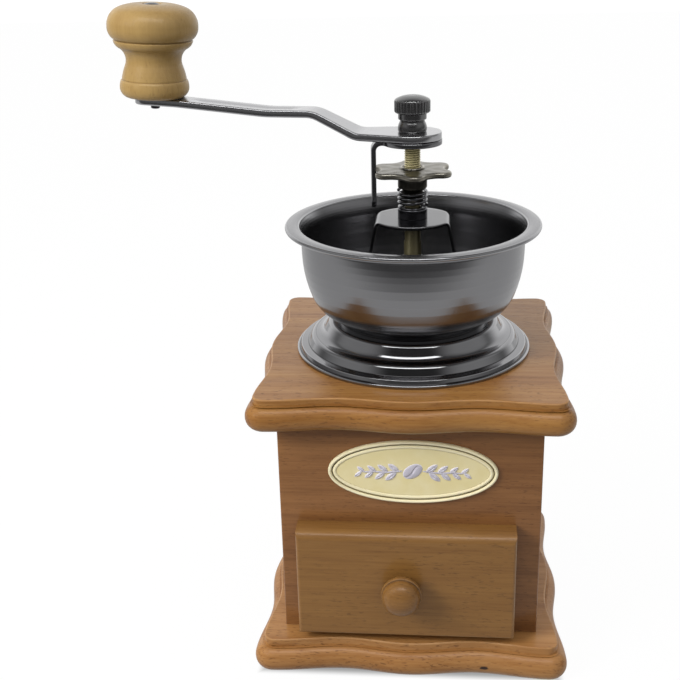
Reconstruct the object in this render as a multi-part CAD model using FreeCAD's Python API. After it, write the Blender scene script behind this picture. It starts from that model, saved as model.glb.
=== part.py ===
"""Manual coffee grinder: a wooden box mill with a drawer, a metal hopper bowl and a top crank.

Millimetres. X is to the right, Y to the back and Z up. The origin is the centre of the base
board's underside. The drawer opens towards -Y and the crank rests pointing towards -X.
"""
import FreeCAD, Part
import math
import os

from FreeCAD import Vector

# Fastenings
SCREW_SHANK = 1.6
SCREW_HEAD = 3.0
SCREW_HEAD_HIGH = 1.7
SCREW_HOLE = 1.7
SCREW_SLOT = 0.7            # width of a driver slot
SCREW_SLOT_DEEP = 0.8
HOPPER_SCREW_LONG = 28.0
BRACKET_SCREW_LONG = 11.0
BASE_SCREW_SHANK = 1.9
BASE_SCREW_HEAD = 3.7
BASE_SCREW_LONG = 30.0
BASE_SCREW_SUNK = 1.1       # the countersunk heads lie this far above the underside
BASE_SCREW_Y = 30.0
DOWEL = 2.5
DOWEL_Y = 32.0
DOWEL_DOWN = 10.0           # depth of a dowel's hole in the wall
DOWEL_UP = 8.0              # depth of its hole in the top board
HOLE_PLAY = 0.1             # a hole is wider or deeper than what it holds by this much

# Wooden case
BASE_HALF = 68.8            # half the width of the base board
BASE_THICK = 16.0
TOP_HALF = 67.5             # half the width of the top board
TOP_THICK = 14.6
BOARD_CORNER = 8.0          # corner radius seen from above
WAVE_DEPTH = 3.0            # how far each side is drawn in
WAVE_AT = 29.0              # where it is drawn in most, from the middle of the side
BASE_STEP = 3.8             # height of the flat step above the rounded edge
TOP_STEP = 3.0
BASE_STEP_INSET = 4.2
TOP_STEP_INSET = 3.4
STEP_CORNER = 5.0
NOSE_FLAT = 0.6             # flat left between the two roundings of the edge
ARRIS = 0.5

BODY_HALF_X = 55.7
BODY_HALF_Y = 53.3
BODY_HEIGHT = 101.0
PANEL = 8.0                 # thickness of the four walls
BODY_Z0 = BASE_THICK
BODY_Z1 = BODY_Z0 + BODY_HEIGHT
BOARD_TOP = BODY_Z1 + TOP_THICK

# Drawer
DRAWER_X = -1.5             # middle of the drawer, a little left of the case's middle
OPENING_HALF = 41.0
OPENING_Z0 = 22.0
OPENING_Z1 = 65.0
RUNNER_WIDE = 9.0
FRONT_HALF = 46.8           # half the width of the drawer front
FRONT_Z0 = 19.8
FRONT_Z1 = 70.2
FRONT_THICK = 11.0
FRONT_GAP = 0.2             # between the drawer front and the case
FRONT_TOP_ROUND = 3.4
FRONT_EDGE_ROUND = 1.5
DRAWER_WALL = 6.0
DRAWER_HALF = 40.3
DRAWER_Z0 = 22.2
DRAWER_Z1 = 60.0
DRAWER_LONG = 91.0          # from the back of the drawer front
DRAWER_FLOOR = 3.0
FLOOR_UP = 2.0              # the floor sits this far above the lower edge of the walls
KNOB_X = -3.0
KNOB_Z = 44.8
KNOB_RADIUS = 8.6
KNOB_LONG = 13.8
KNOB_SCREW_LONG = 18.5
KNOB_SCREW_HEAD = 3.2

# Oval plaque
PLAQUE_X = 1.4
PLAQUE_Z = 94.9
PLAQUE_A = 35.8
PLAQUE_B = 14.6
PLAQUE_THICK = 1.0
RIM_HEIGHT = 0.7
RIM_WIDE = 1.5
RELIEF = 0.6                # height of the raised sprig
SPRIG_FIRST = 8.0           # its first pair of leaves from the middle, and the step to the next
SPRIG_STEP = 4.6

# Hopper bowl and the stepped flange under it, radii from the shaft
SHEET = 1.0
BOWL_Z0 = 147.8             # underside of the bowl's floor
BOWL_FLAT = 30.6            # radius where the floor starts to curve up
BOWL_BEND = 15.3            # outer radius of that curve
BOWL_TURN = 70.0            # degrees it turns before the wall starts
BOWL_NECK = (48.45, 181.0)  # top of the wall, start of the flared lip
RIM_RADIUS = 55.6
BEAD = 0.9                  # radius of the lip's edge
BEAD_Z = 188.0
THROAT = 19.5               # hole in the bowl's floor
FLANGE_RADIUS = 52.2
FLANGE_NECK = 33.3

# Burr set and its housing
SCREW_RING = 28.2           # the four screws that hold bowl, housing and top board together
BOSS = 4.0
HOUSING_FOOT = 32.0
HOUSING_FOOT_THICK = 3.4
BARREL = 21.4
BARREL_Z0 = 104.0
BARREL_BORE = 19.0
BARREL_LIP = 1.5            # the lip at the barrel's foot that carries the fixed burr
HOUSING_NECK = 22.6
BURR_Z0 = 107.0
BURR_Z1 = 131.0
OUTER_BURR_TOP = 17.2       # inner radius of the fixed burr at its top
OUTER_BURR_LOW = 16.4
INNER_BURR_LOW = 15.2       # outer radius of the turning burr at its foot
INNER_BURR_TOP = 8.0
INNER_BURR_Z1 = 136.0
INNER_FLUTES = 9
INNER_FLUTE = 1.6           # radius of a flute
INNER_FLUTE_WAY = (-0.24, 0.34, 1.0)
OUTER_FLUTES = 24
OUTER_FLUTE = 0.9
OUTER_FLUTE_WAY = (0.035, 0.16, 1.0)
BURR_LIFT = 0.3             # the turning burr's foot above the fixed burr's foot
BURR_WASHER = 7.0
BURR_WASHER_THICK = 1.5
NUT_FLATS = 10.0
NUT_HIGH = 4.8

# Shaft
THREAD = 3.5                # M7 x 1 upper half
THREAD_PITCH = 1.0
THREAD_DEPTH = 0.45
THREAD_ROOT_AT = 0.45       # place of the root between two crests, as a part of the pitch
THREAD_Z0 = 203.0
SHANK = 3.8
SHANK_Z1 = 180.0
LOWER_JOURNAL = 3.0
SHAFT_Z0 = 91.5
CLIP_JOURNAL = 3.0
CLIP_JOURNAL_Z0 = 222.7
SHAFT_Z1 = 238.5
FLAT_HALF = 2.3             # half the distance across the two flats that drive the arm
EYE_PLAY = 0.03             # between those flats and the arm
RUNNING = 0.05              # radial clearance of a running fit
SLEEVE = 5.65
SLEEVE_Z1 = 173.0

# Bridge that holds the shaft's upper bush
BRIDGE_TOP = 190.8
BRIDGE_THICK = 1.5
BRIDGE_DISC = 17.3
BRIDGE_SHOULDER = 15.4
BRIDGE_LEG_WIDE = 17.0
BRIDGE_SPLAY = 11.0         # degrees
BRIDGE_FOOT_END = 30.5
BUSH = 6.4
BUSH_Z1 = 195.2
BUSH_NECK = 5.0             # radius of the bush's neck in the sheet
BUSH_FLANGE = 6.2
BUSH_FLANGE_THICK = 1.5

# Lower bearing bracket
STRAP_Z0 = 93.0
STRAP_THICK = 2.0
STRAP_WIDE = 14.0
STRAP_HALF = 26.0
STRAP_FOOT = 33.0
STRAP_END = 43.0
STRAP_SCREW = 38.5
LOWER_BUSH = 6.0
LOWER_BUSH_NECK = 4.5
LOWER_BUSH_HIGH = 3.5

# Spring, adjusting wheel and locking clip
SPRING_WIRE = 1.4
SPRING_MEAN = 5.85
SPRING_TURNS = 3.5
SPRING_Z0 = 196.68          # height of the wire's centre at its lower end
SPRING_Z1 = 203.12
WASHER_Z0 = 195.3
WASHER_THICK = 0.6
WASHER_RADIUS = 6.3
WHEEL_Z0 = 209.8
WHEEL_Z1 = 212.3
WHEEL_SPIGOT = 4.5          # the hub's lower end, inside the spring
WHEEL_SPIGOT_Z0 = 197.0
WHEEL_HUB = 6.3
WHEEL_HUB_Z0 = 204.0
WHEEL_COLLAR = 5.3
WHEEL_COLLAR_Z1 = 213.2
LOBES = 6
LOBE_TIP = 18.0
LOBE_ROUND = 4.2
LOBE_EDGE = 0.9             # rounding of the star's upper and lower edges
NOTCH = 13.8
CLIP_EYE = 12.6
CLIP_THICK = 2.1
CLIP_Z0 = 222.8
CLIP_LEG_AT = 16.6
CLIP_TURN = 5.0             # degrees its leg stands in front of the -X axis
CLIP_WIDE = 7.0
CLIP_LOW = 195.8
CLIP_BEND = 3.2

# Crank arm, cap nut and grip
ARM_Z0 = 225.0              # underside of the arm at its eye
ARM_THICK = 3.1
ARM_EYE = 12.4
ARM_BACK = 8.0              # degrees the resting arm points behind the -X axis
ARM_BEND = (23.4, 42.0)     # radii where the double bend starts and ends
ARM_RISE = 8.95
ARM_FLAT_TO = 63.0
ARM_CLIMB = 5.2             # degrees the outer part climbs
ARM_SEAT_FROM = 103.0       # from here on, under the grip, it climbs less
SEAT_SLOPE = 3.0            # degrees
ARM_SHOULDER_HALF = 8.0
ARM_MIDDLE_HALF = 6.4
ARM_END_HALF = 6.2
ARM_PAST = 9.0              # how far the arm reaches past the grip's axis
GRIP_AT = 114.7
GRIP_GAP = 0.3
GRIP_HIGH = 39.1
GRIP_PIN = 2.5
GRIP_PIN_HEAD = 3.6
GRIP_POCKET = 1.4           # depth of the pocket that the pin's head sits in
RIVET_NECK = 1.6            # the pin's lower end goes through the arm and is riveted over
RIVET = 2.0
RIVET_HIGH = 2.0
CAP_HEAD = 7.6
CAP_RIBS = 30
CAP_RIB = 0.42              # radius of a groove between two ribs


def point(x, z):
    """A point of a flat outline drawn in the XZ plane."""
    return Vector(x, 0, z)


def edges(start, *steps):
    """Edges of an outline. A step is the end of a line, or a pair: a point on an arc and its end."""
    made, here = [], start
    for step in steps:
        if isinstance(step[0], tuple):
            through, end = step
            made.append(Part.Arc(point(*here), point(*through), point(*end)).toShape())
        else:
            end = step
            made.append(Part.LineSegment(point(*here), point(*end)).toShape())
        here = end
    if here != start:
        made.append(Part.LineSegment(point(*here), point(*start)).toShape())
    return made


def dome(radius, z, high):
    """The last step of a turned outline: a round cap from a rim of this radius up to the axis."""
    ball = (radius * radius + high * high) / (2 * high)
    half = math.asin(min(1.0, radius / ball)) / 2
    return ((ball * math.sin(half), z + high - ball * (1 - math.cos(half))), (0, z + high))


def turned(start, *steps):
    """A solid of revolution about Z, from an outline of radii and heights."""
    face = Part.Face(Part.Wire(edges(start, *steps)))
    return face.revolve(Vector(0, 0, 0), Vector(0, 0, 1), 360)


def block(x0, x1, y0, y1, z0, z1):
    """A box between two corners."""
    return Part.makeBox(x1 - x0, y1 - y0, z1 - z0, Vector(x0, y0, z0))


def rod(radius, z0, z1, x=0.0, y=0.0):
    """An upright cylinder."""
    return Part.makeCylinder(radius, z1 - z0, Vector(x, y, z0))


def arc_middle(start, middle, end):
    """Arc through three points given as vectors."""
    return Part.Arc(start, middle, end).toShape()


def rounded_line(points, radii):
    """Edges of a bent line in the XZ plane, each inner corner rounded by its own radius."""
    corners = [point(*p) for p in points]
    made, here = [], corners[0]
    for before, corner, after, radius in zip(corners, corners[1:], corners[2:], radii):
        back = (before - corner).normalize()
        ahead = (after - corner).normalize()
        half = back.getAngle(ahead) / 2
        setback = radius / math.tan(half)
        inward = (back + ahead).normalize()
        first = corner + back * setback
        last = corner + ahead * setback
        middle = corner + inward * (radius / math.sin(half) - radius)
        made.append(Part.LineSegment(here, first).toShape())
        made.append(arc_middle(first, middle, last))
        here = last
    made.append(Part.LineSegment(here, corners[-1]).toShape())
    return made


def beside(points, distance):
    """The bent line moved sideways by a distance, with its corners kept sharp."""
    moved = []
    for index, (x, z) in enumerate(points):
        normals = []
        for first in (index - 1, index):
            if 0 <= first < len(points) - 1:
                (x0, z0), (x1, z1) = points[first], points[first + 1]
                length = math.hypot(x1 - x0, z1 - z0)
                normals.append((-(z1 - z0) / length, (x1 - x0) / length))
        nx = sum(n[0] for n in normals) / len(normals)
        nz = sum(n[1] for n in normals) / len(normals)
        scale = distance / (nx * nx + nz * nz)
        moved.append((x + nx * scale, z + nz * scale))
    return moved


def bent_strip(points, radii, thick, wide):
    """Sheet metal bent along a line in the XZ plane, centred on it, wide in Y."""
    sides = []
    for side in (1, -1):
        fitted = []
        for before, corner, after, radius in zip(points, points[1:], points[2:], radii):
            turn = ((corner[0] - before[0]) * (after[1] - corner[1])
                    - (corner[1] - before[1]) * (after[0] - corner[0]))
            fitted.append(radius - side * math.copysign(thick / 2, turn))
        sides.append((beside(points, side * thick / 2), fitted))
    (left, left_radii), (right, right_radii) = sides
    made = rounded_line(left, left_radii)
    made += rounded_line(right, right_radii)
    made.append(Part.LineSegment(point(*left[0]), point(*right[0])).toShape())
    made.append(Part.LineSegment(point(*left[-1]), point(*right[-1])).toShape())
    face = Part.Face(Part.Wire(Part.__sortEdges__(made)))
    face.translate(Vector(0, -wide / 2, 0))
    return face.extrude(Vector(0, wide, 0))


def around(shape, count, start=0.0):
    """Copies of a shape spaced evenly about Z, as one compound."""
    copies = []
    for index in range(count):
        copy = shape.copy()
        copy.rotate(Vector(0, 0, 0), Vector(0, 0, 1), start + 360.0 * index / count)
        copies.append(copy)
    return Part.makeCompound(copies)


def half_wave(peak, dip):
    """Two arcs between a peak and a dip of a wavy side, level at both ends."""
    run, drop = dip.x - peak.x, dip.y - peak.y
    radius = (run * run + drop * drop) / (4 * abs(drop))
    turn = math.asin(abs(run) / 2 / radius) / 2
    along = math.copysign(radius * math.sin(turn), run)
    aside = math.copysign(radius * (1 - math.cos(turn)), drop)
    centre = (peak + dip) * 0.5
    return [arc_middle(peak, peak + Vector(along, aside, 0), centre),
            arc_middle(centre, dip - Vector(along, aside, 0), dip)]


def wavy_face(half, corner, z):
    """A square with rounded corners whose four sides are drawn in twice, either side of the middle."""
    side = [Vector(corner - half, half, z), Vector(-WAVE_AT, half - WAVE_DEPTH, z),
            Vector(0, half, z), Vector(WAVE_AT, half - WAVE_DEPTH, z), Vector(half - corner, half, z)]
    one = []
    for first, second in zip(side, side[1:]):
        one += half_wave(first, second)
    reach = half - corner
    diagonal = reach + corner * math.sqrt(0.5)
    one.append(arc_middle(side[-1], Vector(diagonal, diagonal, z), Vector(half, reach, z)))
    made = []
    for quarter in range(4):
        for edge in one:
            copy = edge.copy()
            copy.rotate(Vector(0, 0, 0), Vector(0, 0, 1), -90.0 * quarter)
            made.append(copy)
    return Part.Face(Part.Wire(Part.__sortEdges__(made)))


def moulded_board(half, thick, step, inset, z0):
    """A board with a full round nose and, above it, a flat step set back from the nose."""
    nose = thick - step
    slab = wavy_face(half, BOARD_CORNER, 0).extrude(Vector(0, 0, nose))
    level = [e for e in slab.Edges if abs(e.BoundBox.ZMax - e.BoundBox.ZMin) < 1e-6]
    slab = slab.makeFillet((nose - NOSE_FLAT) / 2, level)
    upper = wavy_face(half - inset, STEP_CORNER, nose - 1.0).extrude(Vector(0, 0, step + 1.0))
    rim = [e for e in upper.Edges if e.BoundBox.ZMin > nose + step - 1e-6]
    upper = upper.makeChamfer(ARRIS, rim)
    board = slab.fuse(upper).removeSplitter()
    board.translate(Vector(0, 0, z0))
    return board


def screw(x, y, seat, length, shank, head, high, up=1, sunk=False):
    """A slotted wood screw. Its head sits at height seat, on the side that up points to."""
    tip = shank * 1.5
    if sunk:
        outline = [(shank, shank - head), (head, 0), (0, 0)]
    else:
        outline = [(shank, 0), (head, 0), dome(head, 0, high)]
    body = turned((0, -length), (shank, -length + tip), *outline)
    top = 0.0 if sunk else high
    body = body.cut(block(-head, head, -SCREW_SLOT / 2, SCREW_SLOT / 2, top - SCREW_SLOT_DEEP, top + 1))
    if up < 0:
        body.rotate(Vector(0, 0, 0), Vector(1, 0, 0), 180)
    body.translate(Vector(x, y, seat))
    return body


def ellipse_face(a, b, y, x=0.0, z=0.0, tilt=0.0):
    """An upright oval facing -Y."""
    curve = Part.Ellipse(Vector(0, 0, 0), a, b).toShape()
    face = Part.Face(Part.Wire([curve]))
    face.rotate(Vector(0, 0, 0), Vector(0, 0, 1), tilt)
    face.rotate(Vector(0, 0, 0), Vector(1, 0, 0), 90)
    face.translate(Vector(x, y, z))
    return face


def ring_points(ring=SCREW_RING, count=4):
    """Places on a circle, the first on +X."""
    return [(ring * math.cos(2 * math.pi * k / count), ring * math.sin(2 * math.pi * k / count))
            for k in range(count)]


def wooden_case(parts):
    """Base and top boards, the four walls, the dowels and screws that join them."""
    base = moulded_board(BASE_HALF, BASE_THICK, BASE_STEP, BASE_STEP_INSET, 0)
    wall_middle = BODY_HALF_X - PANEL / 2
    hole_head = BASE_SCREW_HEAD + 2 * HOLE_PLAY
    hole_shank = BASE_SCREW_SHANK + HOLE_PLAY
    seat = BASE_SCREW_SUNK + HOLE_PLAY
    hole = turned((0, -1), (hole_head, -1), (hole_head, seat), (hole_shank, seat + hole_head - hole_shank),
                  (hole_shank, BASE_THICK + 1), (0, BASE_THICK + 1))
    base_screws = []
    for x in (-wall_middle, wall_middle):
        for y in (-BASE_SCREW_Y, BASE_SCREW_Y):
            base = base.cut(hole.translated(Vector(x, y, 0)))
            base_screws.append(screw(x, y, BASE_SCREW_SUNK, BASE_SCREW_LONG, BASE_SCREW_SHANK,
                                     BASE_SCREW_HEAD, 0, up=-1, sunk=True))
    parts["base_board"] = base
    parts["base_screws"] = Part.makeCompound(base_screws)

    board = moulded_board(TOP_HALF, TOP_THICK, TOP_STEP, TOP_STEP_INSET, BODY_Z1)
    board = board.cut(rod(BARREL + 3 * HOLE_PLAY, BODY_Z1 - 1, BOARD_TOP + 1))
    for x, y in ring_points():
        board = board.cut(rod(SCREW_HOLE, BOWL_Z0 + SHEET - HOPPER_SCREW_LONG - 1.4, BOARD_TOP + 1, x, y))
    for x in (-STRAP_SCREW, STRAP_SCREW):
        board = board.cut(rod(SCREW_HOLE, BODY_Z1 - 1, BODY_Z1 + BRACKET_SCREW_LONG - 1, x))
    dowels = []
    for x in (-wall_middle, wall_middle):
        for y in (-DOWEL_Y, DOWEL_Y):
            dowels.append(rod(DOWEL, BODY_Z1 - DOWEL_DOWN + HOLE_PLAY, BODY_Z1 + DOWEL_UP - HOLE_PLAY, x, y))
            board = board.cut(rod(DOWEL, BODY_Z1 - 1, BODY_Z1 + DOWEL_UP, x, y))
    parts["top_board"] = board
    parts["top_dowels"] = Part.makeCompound(dowels)

    side = block(-BODY_HALF_X, -BODY_HALF_X + PANEL, -BODY_HALF_Y + PANEL, BODY_HALF_Y - PANEL,
                 BODY_Z0, BODY_Z1)
    for y in (-DOWEL_Y, DOWEL_Y):
        side = side.cut(rod(DOWEL, BODY_Z1 - DOWEL_DOWN, BODY_Z1 + 1, -wall_middle, y))
    for y in (-BASE_SCREW_Y, BASE_SCREW_Y):
        side = side.cut(rod(hole_shank, BODY_Z0 - 1, BASE_SCREW_LONG + 3, -wall_middle, y))
    parts["left_panel"] = side
    parts["right_panel"] = side.mirror(Vector(0, 0, 0), Vector(1, 0, 0))
    front = block(-BODY_HALF_X, BODY_HALF_X, -BODY_HALF_Y, -BODY_HALF_Y + PANEL, BODY_Z0, BODY_Z1)
    parts["back_panel"] = front.mirror(Vector(0, 0, 0), Vector(0, 1, 0))
    parts["front_panel"] = front.cut(block(DRAWER_X - OPENING_HALF, DRAWER_X + OPENING_HALF,
                                           -BODY_HALF_Y - 1, -BODY_HALF_Y + PANEL + 1,
                                           OPENING_Z0, OPENING_Z1))
    for name, x in (("left_runner", DRAWER_X - OPENING_HALF + 1.0),
                    ("right_runner", DRAWER_X + OPENING_HALF - 1.0 - RUNNER_WIDE)):
        parts[name] = block(x, x + RUNNER_WIDE, -BODY_HALF_Y + PANEL, BODY_HALF_Y - PANEL,
                            BODY_Z0, OPENING_Z0)


def knob_shape():
    """The drawer's turned knob, its foot at the origin and its face towards +Z."""
    rim = KNOB_RADIUS
    return turned((0, 0), (5.4, 0), ((4.8, 0.9), (5.1, 1.6)), ((7.3, 2.8), (rim, 5.8)),
                  ((8.3, 8.2), (6.9, 9.8)), (6.5, 9.9), dome(6.5, 9.9, KNOB_LONG - 9.9))


def drawer(parts):
    """The drawer's front, walls, floor, knob and the screw that holds the knob."""
    face_y = -BODY_HALF_Y - FRONT_GAP
    front_y = face_y - FRONT_THICK
    front = block(DRAWER_X - FRONT_HALF, DRAWER_X + FRONT_HALF, front_y, face_y, FRONT_Z0, FRONT_Z1)
    rim = [e for e in front.Edges if e.BoundBox.YMax < front_y + 1e-6]
    top = [e for e in rim if e.BoundBox.ZMin > FRONT_Z1 - 1e-6]
    front = front.makeFillet(FRONT_TOP_ROUND, top)
    others = [e for e in front.Edges if e.BoundBox.YMax < front_y + FRONT_TOP_ROUND + 1e-6
              and e.BoundBox.ZMax < FRONT_Z1 + 1e-6 and not e.BoundBox.YMin > front_y + 1e-6
              and e.BoundBox.ZMin < FRONT_Z1 - FRONT_TOP_ROUND - 1e-6]
    front = front.makeFillet(FRONT_EDGE_ROUND, others)
    hole = Part.makeCylinder(SCREW_HOLE + HOLE_PLAY, 2 * FRONT_THICK, Vector(KNOB_X, front_y - 1, KNOB_Z),
                             Vector(0, 1, 0))
    parts["drawer_front"] = front.cut(hole)

    knob = knob_shape().cut(rod(SCREW_HOLE + HOLE_PLAY, -1, KNOB_SCREW_LONG - FRONT_THICK + 1))
    knob.rotate(Vector(0, 0, 0), Vector(1, 0, 0), 90)
    knob.translate(Vector(KNOB_X, front_y, KNOB_Z))
    parts["drawer_knob"] = knob
    knob_screw = screw(0, 0, 0, KNOB_SCREW_LONG, SCREW_HOLE, KNOB_SCREW_HEAD, SCREW_HEAD_HIGH)
    knob_screw.rotate(Vector(0, 0, 0), Vector(1, 0, 0), -90)
    knob_screw.translate(Vector(KNOB_X, face_y, KNOB_Z))
    parts["drawer_knob_screw"] = knob_screw

    left, right = DRAWER_X - DRAWER_HALF, DRAWER_X + DRAWER_HALF
    back = face_y + DRAWER_LONG
    wall = block(left, left + DRAWER_WALL, face_y, back, DRAWER_Z0, DRAWER_Z1)
    floor_z0 = DRAWER_Z0 + FLOOR_UP
    groove = block(left + DRAWER_WALL - 2.0, left + DRAWER_WALL + 1, face_y, back,
                   floor_z0, floor_z0 + DRAWER_FLOOR)
    parts["drawer_left_side"] = wall.cut(groove)
    parts["drawer_right_side"] = parts["drawer_left_side"].mirror(Vector(DRAWER_X, 0, 0),
                                                                 Vector(1, 0, 0))
    parts["drawer_back"] = block(left + DRAWER_WALL, right - DRAWER_WALL, back - DRAWER_WALL, back,
                                 floor_z0 + DRAWER_FLOOR, DRAWER_Z1)
    parts["drawer_bottom"] = block(left + DRAWER_WALL - 1.9, right - DRAWER_WALL + 1.9,
                                   face_y, back, floor_z0, floor_z0 + DRAWER_FLOOR)


def plaque(parts):
    """The oval plate on the front with its raised rim, and a raised coffee sprig on it."""
    wall_y = -BODY_HALF_Y
    plate = ellipse_face(PLAQUE_A, PLAQUE_B, wall_y).extrude(Vector(0, -PLAQUE_THICK, 0))
    bands = ((0.0, RIM_WIDE, RIM_HEIGHT), (RIM_WIDE + 0.5, RIM_WIDE + 1.3, RIM_HEIGHT * 0.6))
    for outer, inner, high in bands:
        band_y = wall_y - PLAQUE_THICK + 0.2
        ring = ellipse_face(PLAQUE_A - outer, PLAQUE_B - outer, band_y)
        ring = ring.cut(ellipse_face(PLAQUE_A - inner, PLAQUE_B - inner, band_y))
        plate = plate.fuse(ring.extrude(Vector(0, -high - 0.2, 0)))
    plate = plate.removeSplitter()
    plate.translate(Vector(PLAQUE_X, 0, PLAQUE_Z))
    parts["plaque"] = plate

    field_y = wall_y - PLAQUE_THICK
    leaves = [(0, 0.4, 4.6, 3.0, 35)]
    for side in (-1, 1):
        for index in range(4):
            out = SPRIG_FIRST + SPRIG_STEP * index
            size = 3.1 - 0.35 * index
            leaves.append((side * out, 1.9 - 0.3 * index, size, size * 0.42, side * 38))
            leaves.append((side * (out + 1.2), -2.1 + 0.3 * index, size, size * 0.42, -side * 38))
    made = [ellipse_face(a, b, field_y, PLAQUE_X + x, PLAQUE_Z + z, tilt) for x, z, a, b, tilt in leaves]
    parts["plaque_ornament"] = Part.makeCompound([leaf.extrude(Vector(0, -RELIEF, 0)) for leaf in made])


def on_bend(radius, degrees):
    """A point of the curve that joins the bowl's floor to its wall."""
    swing = math.radians(degrees)
    return (BOWL_FLAT + radius * math.sin(swing), BOWL_Z0 + BOWL_BEND - radius * math.cos(swing))


def hopper(parts):
    """The bowl with its flared lip, the stepped flange it stands on, and their screws."""
    floor = BOWL_Z0 + SHEET
    inner_bend = BOWL_BEND - SHEET
    bead_x = RIM_RADIUS - BEAD
    neck_x, neck_z = BOWL_NECK
    bowl = turned((THROAT, BOWL_Z0), (BOWL_FLAT, BOWL_Z0),
                  (on_bend(BOWL_BEND, BOWL_TURN / 2), on_bend(BOWL_BEND, BOWL_TURN)),
                  ((47.57, 166.8), (48.57, 176.1)), BOWL_NECK,
                  ((49.8, 185.3), (52.6, 187.6)), (bead_x - 0.2, BEAD_Z - 0.88),
                  ((RIM_RADIUS, BEAD_Z), (bead_x, BEAD_Z + BEAD)), ((52.6, 189.15), (50.0, 188.8)),
                  ((49.55, 188.65), (49.3, 188.2)), ((48.35, 184.6), (neck_x - SHEET, neck_z)),
                  (48.57 - SHEET, 176.1),
                  ((46.57, 167.0), on_bend(inner_bend, BOWL_TURN)),
                  (on_bend(inner_bend, BOWL_TURN / 2), (BOWL_FLAT, floor)), (THROAT, floor))
    for x, y in ring_points():
        bowl = bowl.cut(rod(SCREW_HOLE, BOWL_Z0 - 1, floor + 1, x, y))
    parts["hopper_bowl"] = bowl

    z = BOARD_TOP
    outer = [(FLANGE_RADIUS, z), (FLANGE_RADIUS, z + 0.9), ((51.0, z + 2.3), (48.7, z + 3.4)),
             (47.2, z + 3.6), ((46.2, z + 5.0), (45.3, z + 6.2)), ((42.6, z + 7.9), (39.4, z + 8.4)),
             ((37.6, z + 10.6), (36.6, z + 13.0)), ((35.6, z + 13.7), (34.6, z + 13.8)),
             (FLANGE_NECK, z + 13.8), (FLANGE_NECK, BOWL_Z0)]
    inner = [(FLANGE_NECK - SHEET, BOWL_Z0), (FLANGE_NECK - SHEET, z + 12.8), (34.6, z + 12.8),
             (35.6, z + 12.6), ((36.6, z + 10.2), (38.7, z + 7.5)), ((42.0, z + 7.0), (44.5, z + 5.4)),
             ((45.3, z + 4.2), (46.6, z + 2.6)), (48.4, z + 2.4), ((50.2, z + 1.7), (51.2, z))]
    parts["hopper_flange"] = turned(outer[0], *outer[1:], *inner)

    made = [screw(x, y, floor, HOPPER_SCREW_LONG, SCREW_SHANK, SCREW_HEAD, SCREW_HEAD_HIGH)
            for x, y in ring_points()]
    lift = Vector(0, 0, BRIDGE_THICK)
    parts["bridge_screws"] = Part.makeCompound([made[k].translated(lift) for k in (0, 2)])
    parts["hopper_screws"] = Part.makeCompound([made[k] for k in (1, 3)])


def burr_set(parts):
    """The cast housing, the fixed burr in it, and the burr that turns with the shaft."""
    z = BOARD_TOP
    housing = turned((BARREL_BORE, BARREL_Z0), (BARREL, BARREL_Z0), (BARREL, z), (HOUSING_FOOT, z),
                     (HOUSING_FOOT, z + HOUSING_FOOT_THICK), (HOUSING_NECK, z + HOUSING_FOOT_THICK + 1.0),
                     (HOUSING_NECK, BOWL_Z0), (BARREL_BORE, BOWL_Z0))
    lip = turned((BARREL_BORE - BARREL_LIP, BARREL_Z0), (BARREL, BARREL_Z0),
                 (BARREL, BURR_Z0), (BARREL_BORE - BARREL_LIP, BURR_Z0))
    housing = housing.fuse(lip)
    for x, y in ring_points():
        housing = housing.fuse(rod(BOSS, z, BOWL_Z0, x, y))
    for x, y in ring_points():
        housing = housing.cut(rod(SCREW_HOLE, z - 1, BOWL_Z0 + 1, x, y))
    parts["burr_housing"] = housing.removeSplitter()

    fixed = turned((OUTER_BURR_LOW, BURR_Z0), (BARREL_BORE, BURR_Z0), (BARREL_BORE, BURR_Z1),
                   (OUTER_BURR_TOP + 0.9, BURR_Z1), (OUTER_BURR_TOP, BURR_Z1 - 1.5))
    tooth = Part.makeCylinder(OUTER_FLUTE, 40, Vector(OUTER_BURR_LOW, 0, BURR_Z0 - 8),
                              Vector(*OUTER_FLUTE_WAY))
    parts["outer_burr"] = fixed.cut(around(tooth, OUTER_FLUTES))

    foot = BURR_Z0 + BURR_LIFT
    turning = turned((SHANK, foot), (INNER_BURR_LOW, foot), (INNER_BURR_LOW, BURR_Z0 + 3),
                     ((13.4, 121.0), (INNER_BURR_TOP, INNER_BURR_Z1)), (SHANK, INNER_BURR_Z1))
    flute = Part.makeCylinder(INNER_FLUTE, 60, Vector(INNER_BURR_LOW + 0.6, 0, BURR_Z0 - 6),
                              Vector(*INNER_FLUTE_WAY))
    parts["inner_burr"] = turning.cut(around(flute, INNER_FLUTES))

    parts["feed_sleeve"] = turned((SHANK, INNER_BURR_Z1), (SLEEVE + 1.0, INNER_BURR_Z1),
                                  (SLEEVE, INNER_BURR_Z1 + 3.0), (SLEEVE, SLEEVE_Z1 - ARRIS),
                                  (SLEEVE - ARRIS, SLEEVE_Z1), (SHANK, SLEEVE_Z1))
    under = foot - BURR_WASHER_THICK
    parts["burr_washer"] = turned((LOWER_JOURNAL, under), (BURR_WASHER, under), (BURR_WASHER, foot),
                                  (LOWER_JOURNAL, foot))
    corner = NUT_FLATS / math.sqrt(3)
    hexagon = [Vector(x, y, under - NUT_HIGH) for x, y in ring_points(corner, 6)]
    nut = Part.Face(Part.makePolygon(hexagon + hexagon[:1])).extrude(Vector(0, 0, NUT_HIGH))
    parts["burr_nut"] = nut.cut(rod(LOWER_JOURNAL, under - NUT_HIGH - 1, under + 1))


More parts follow.
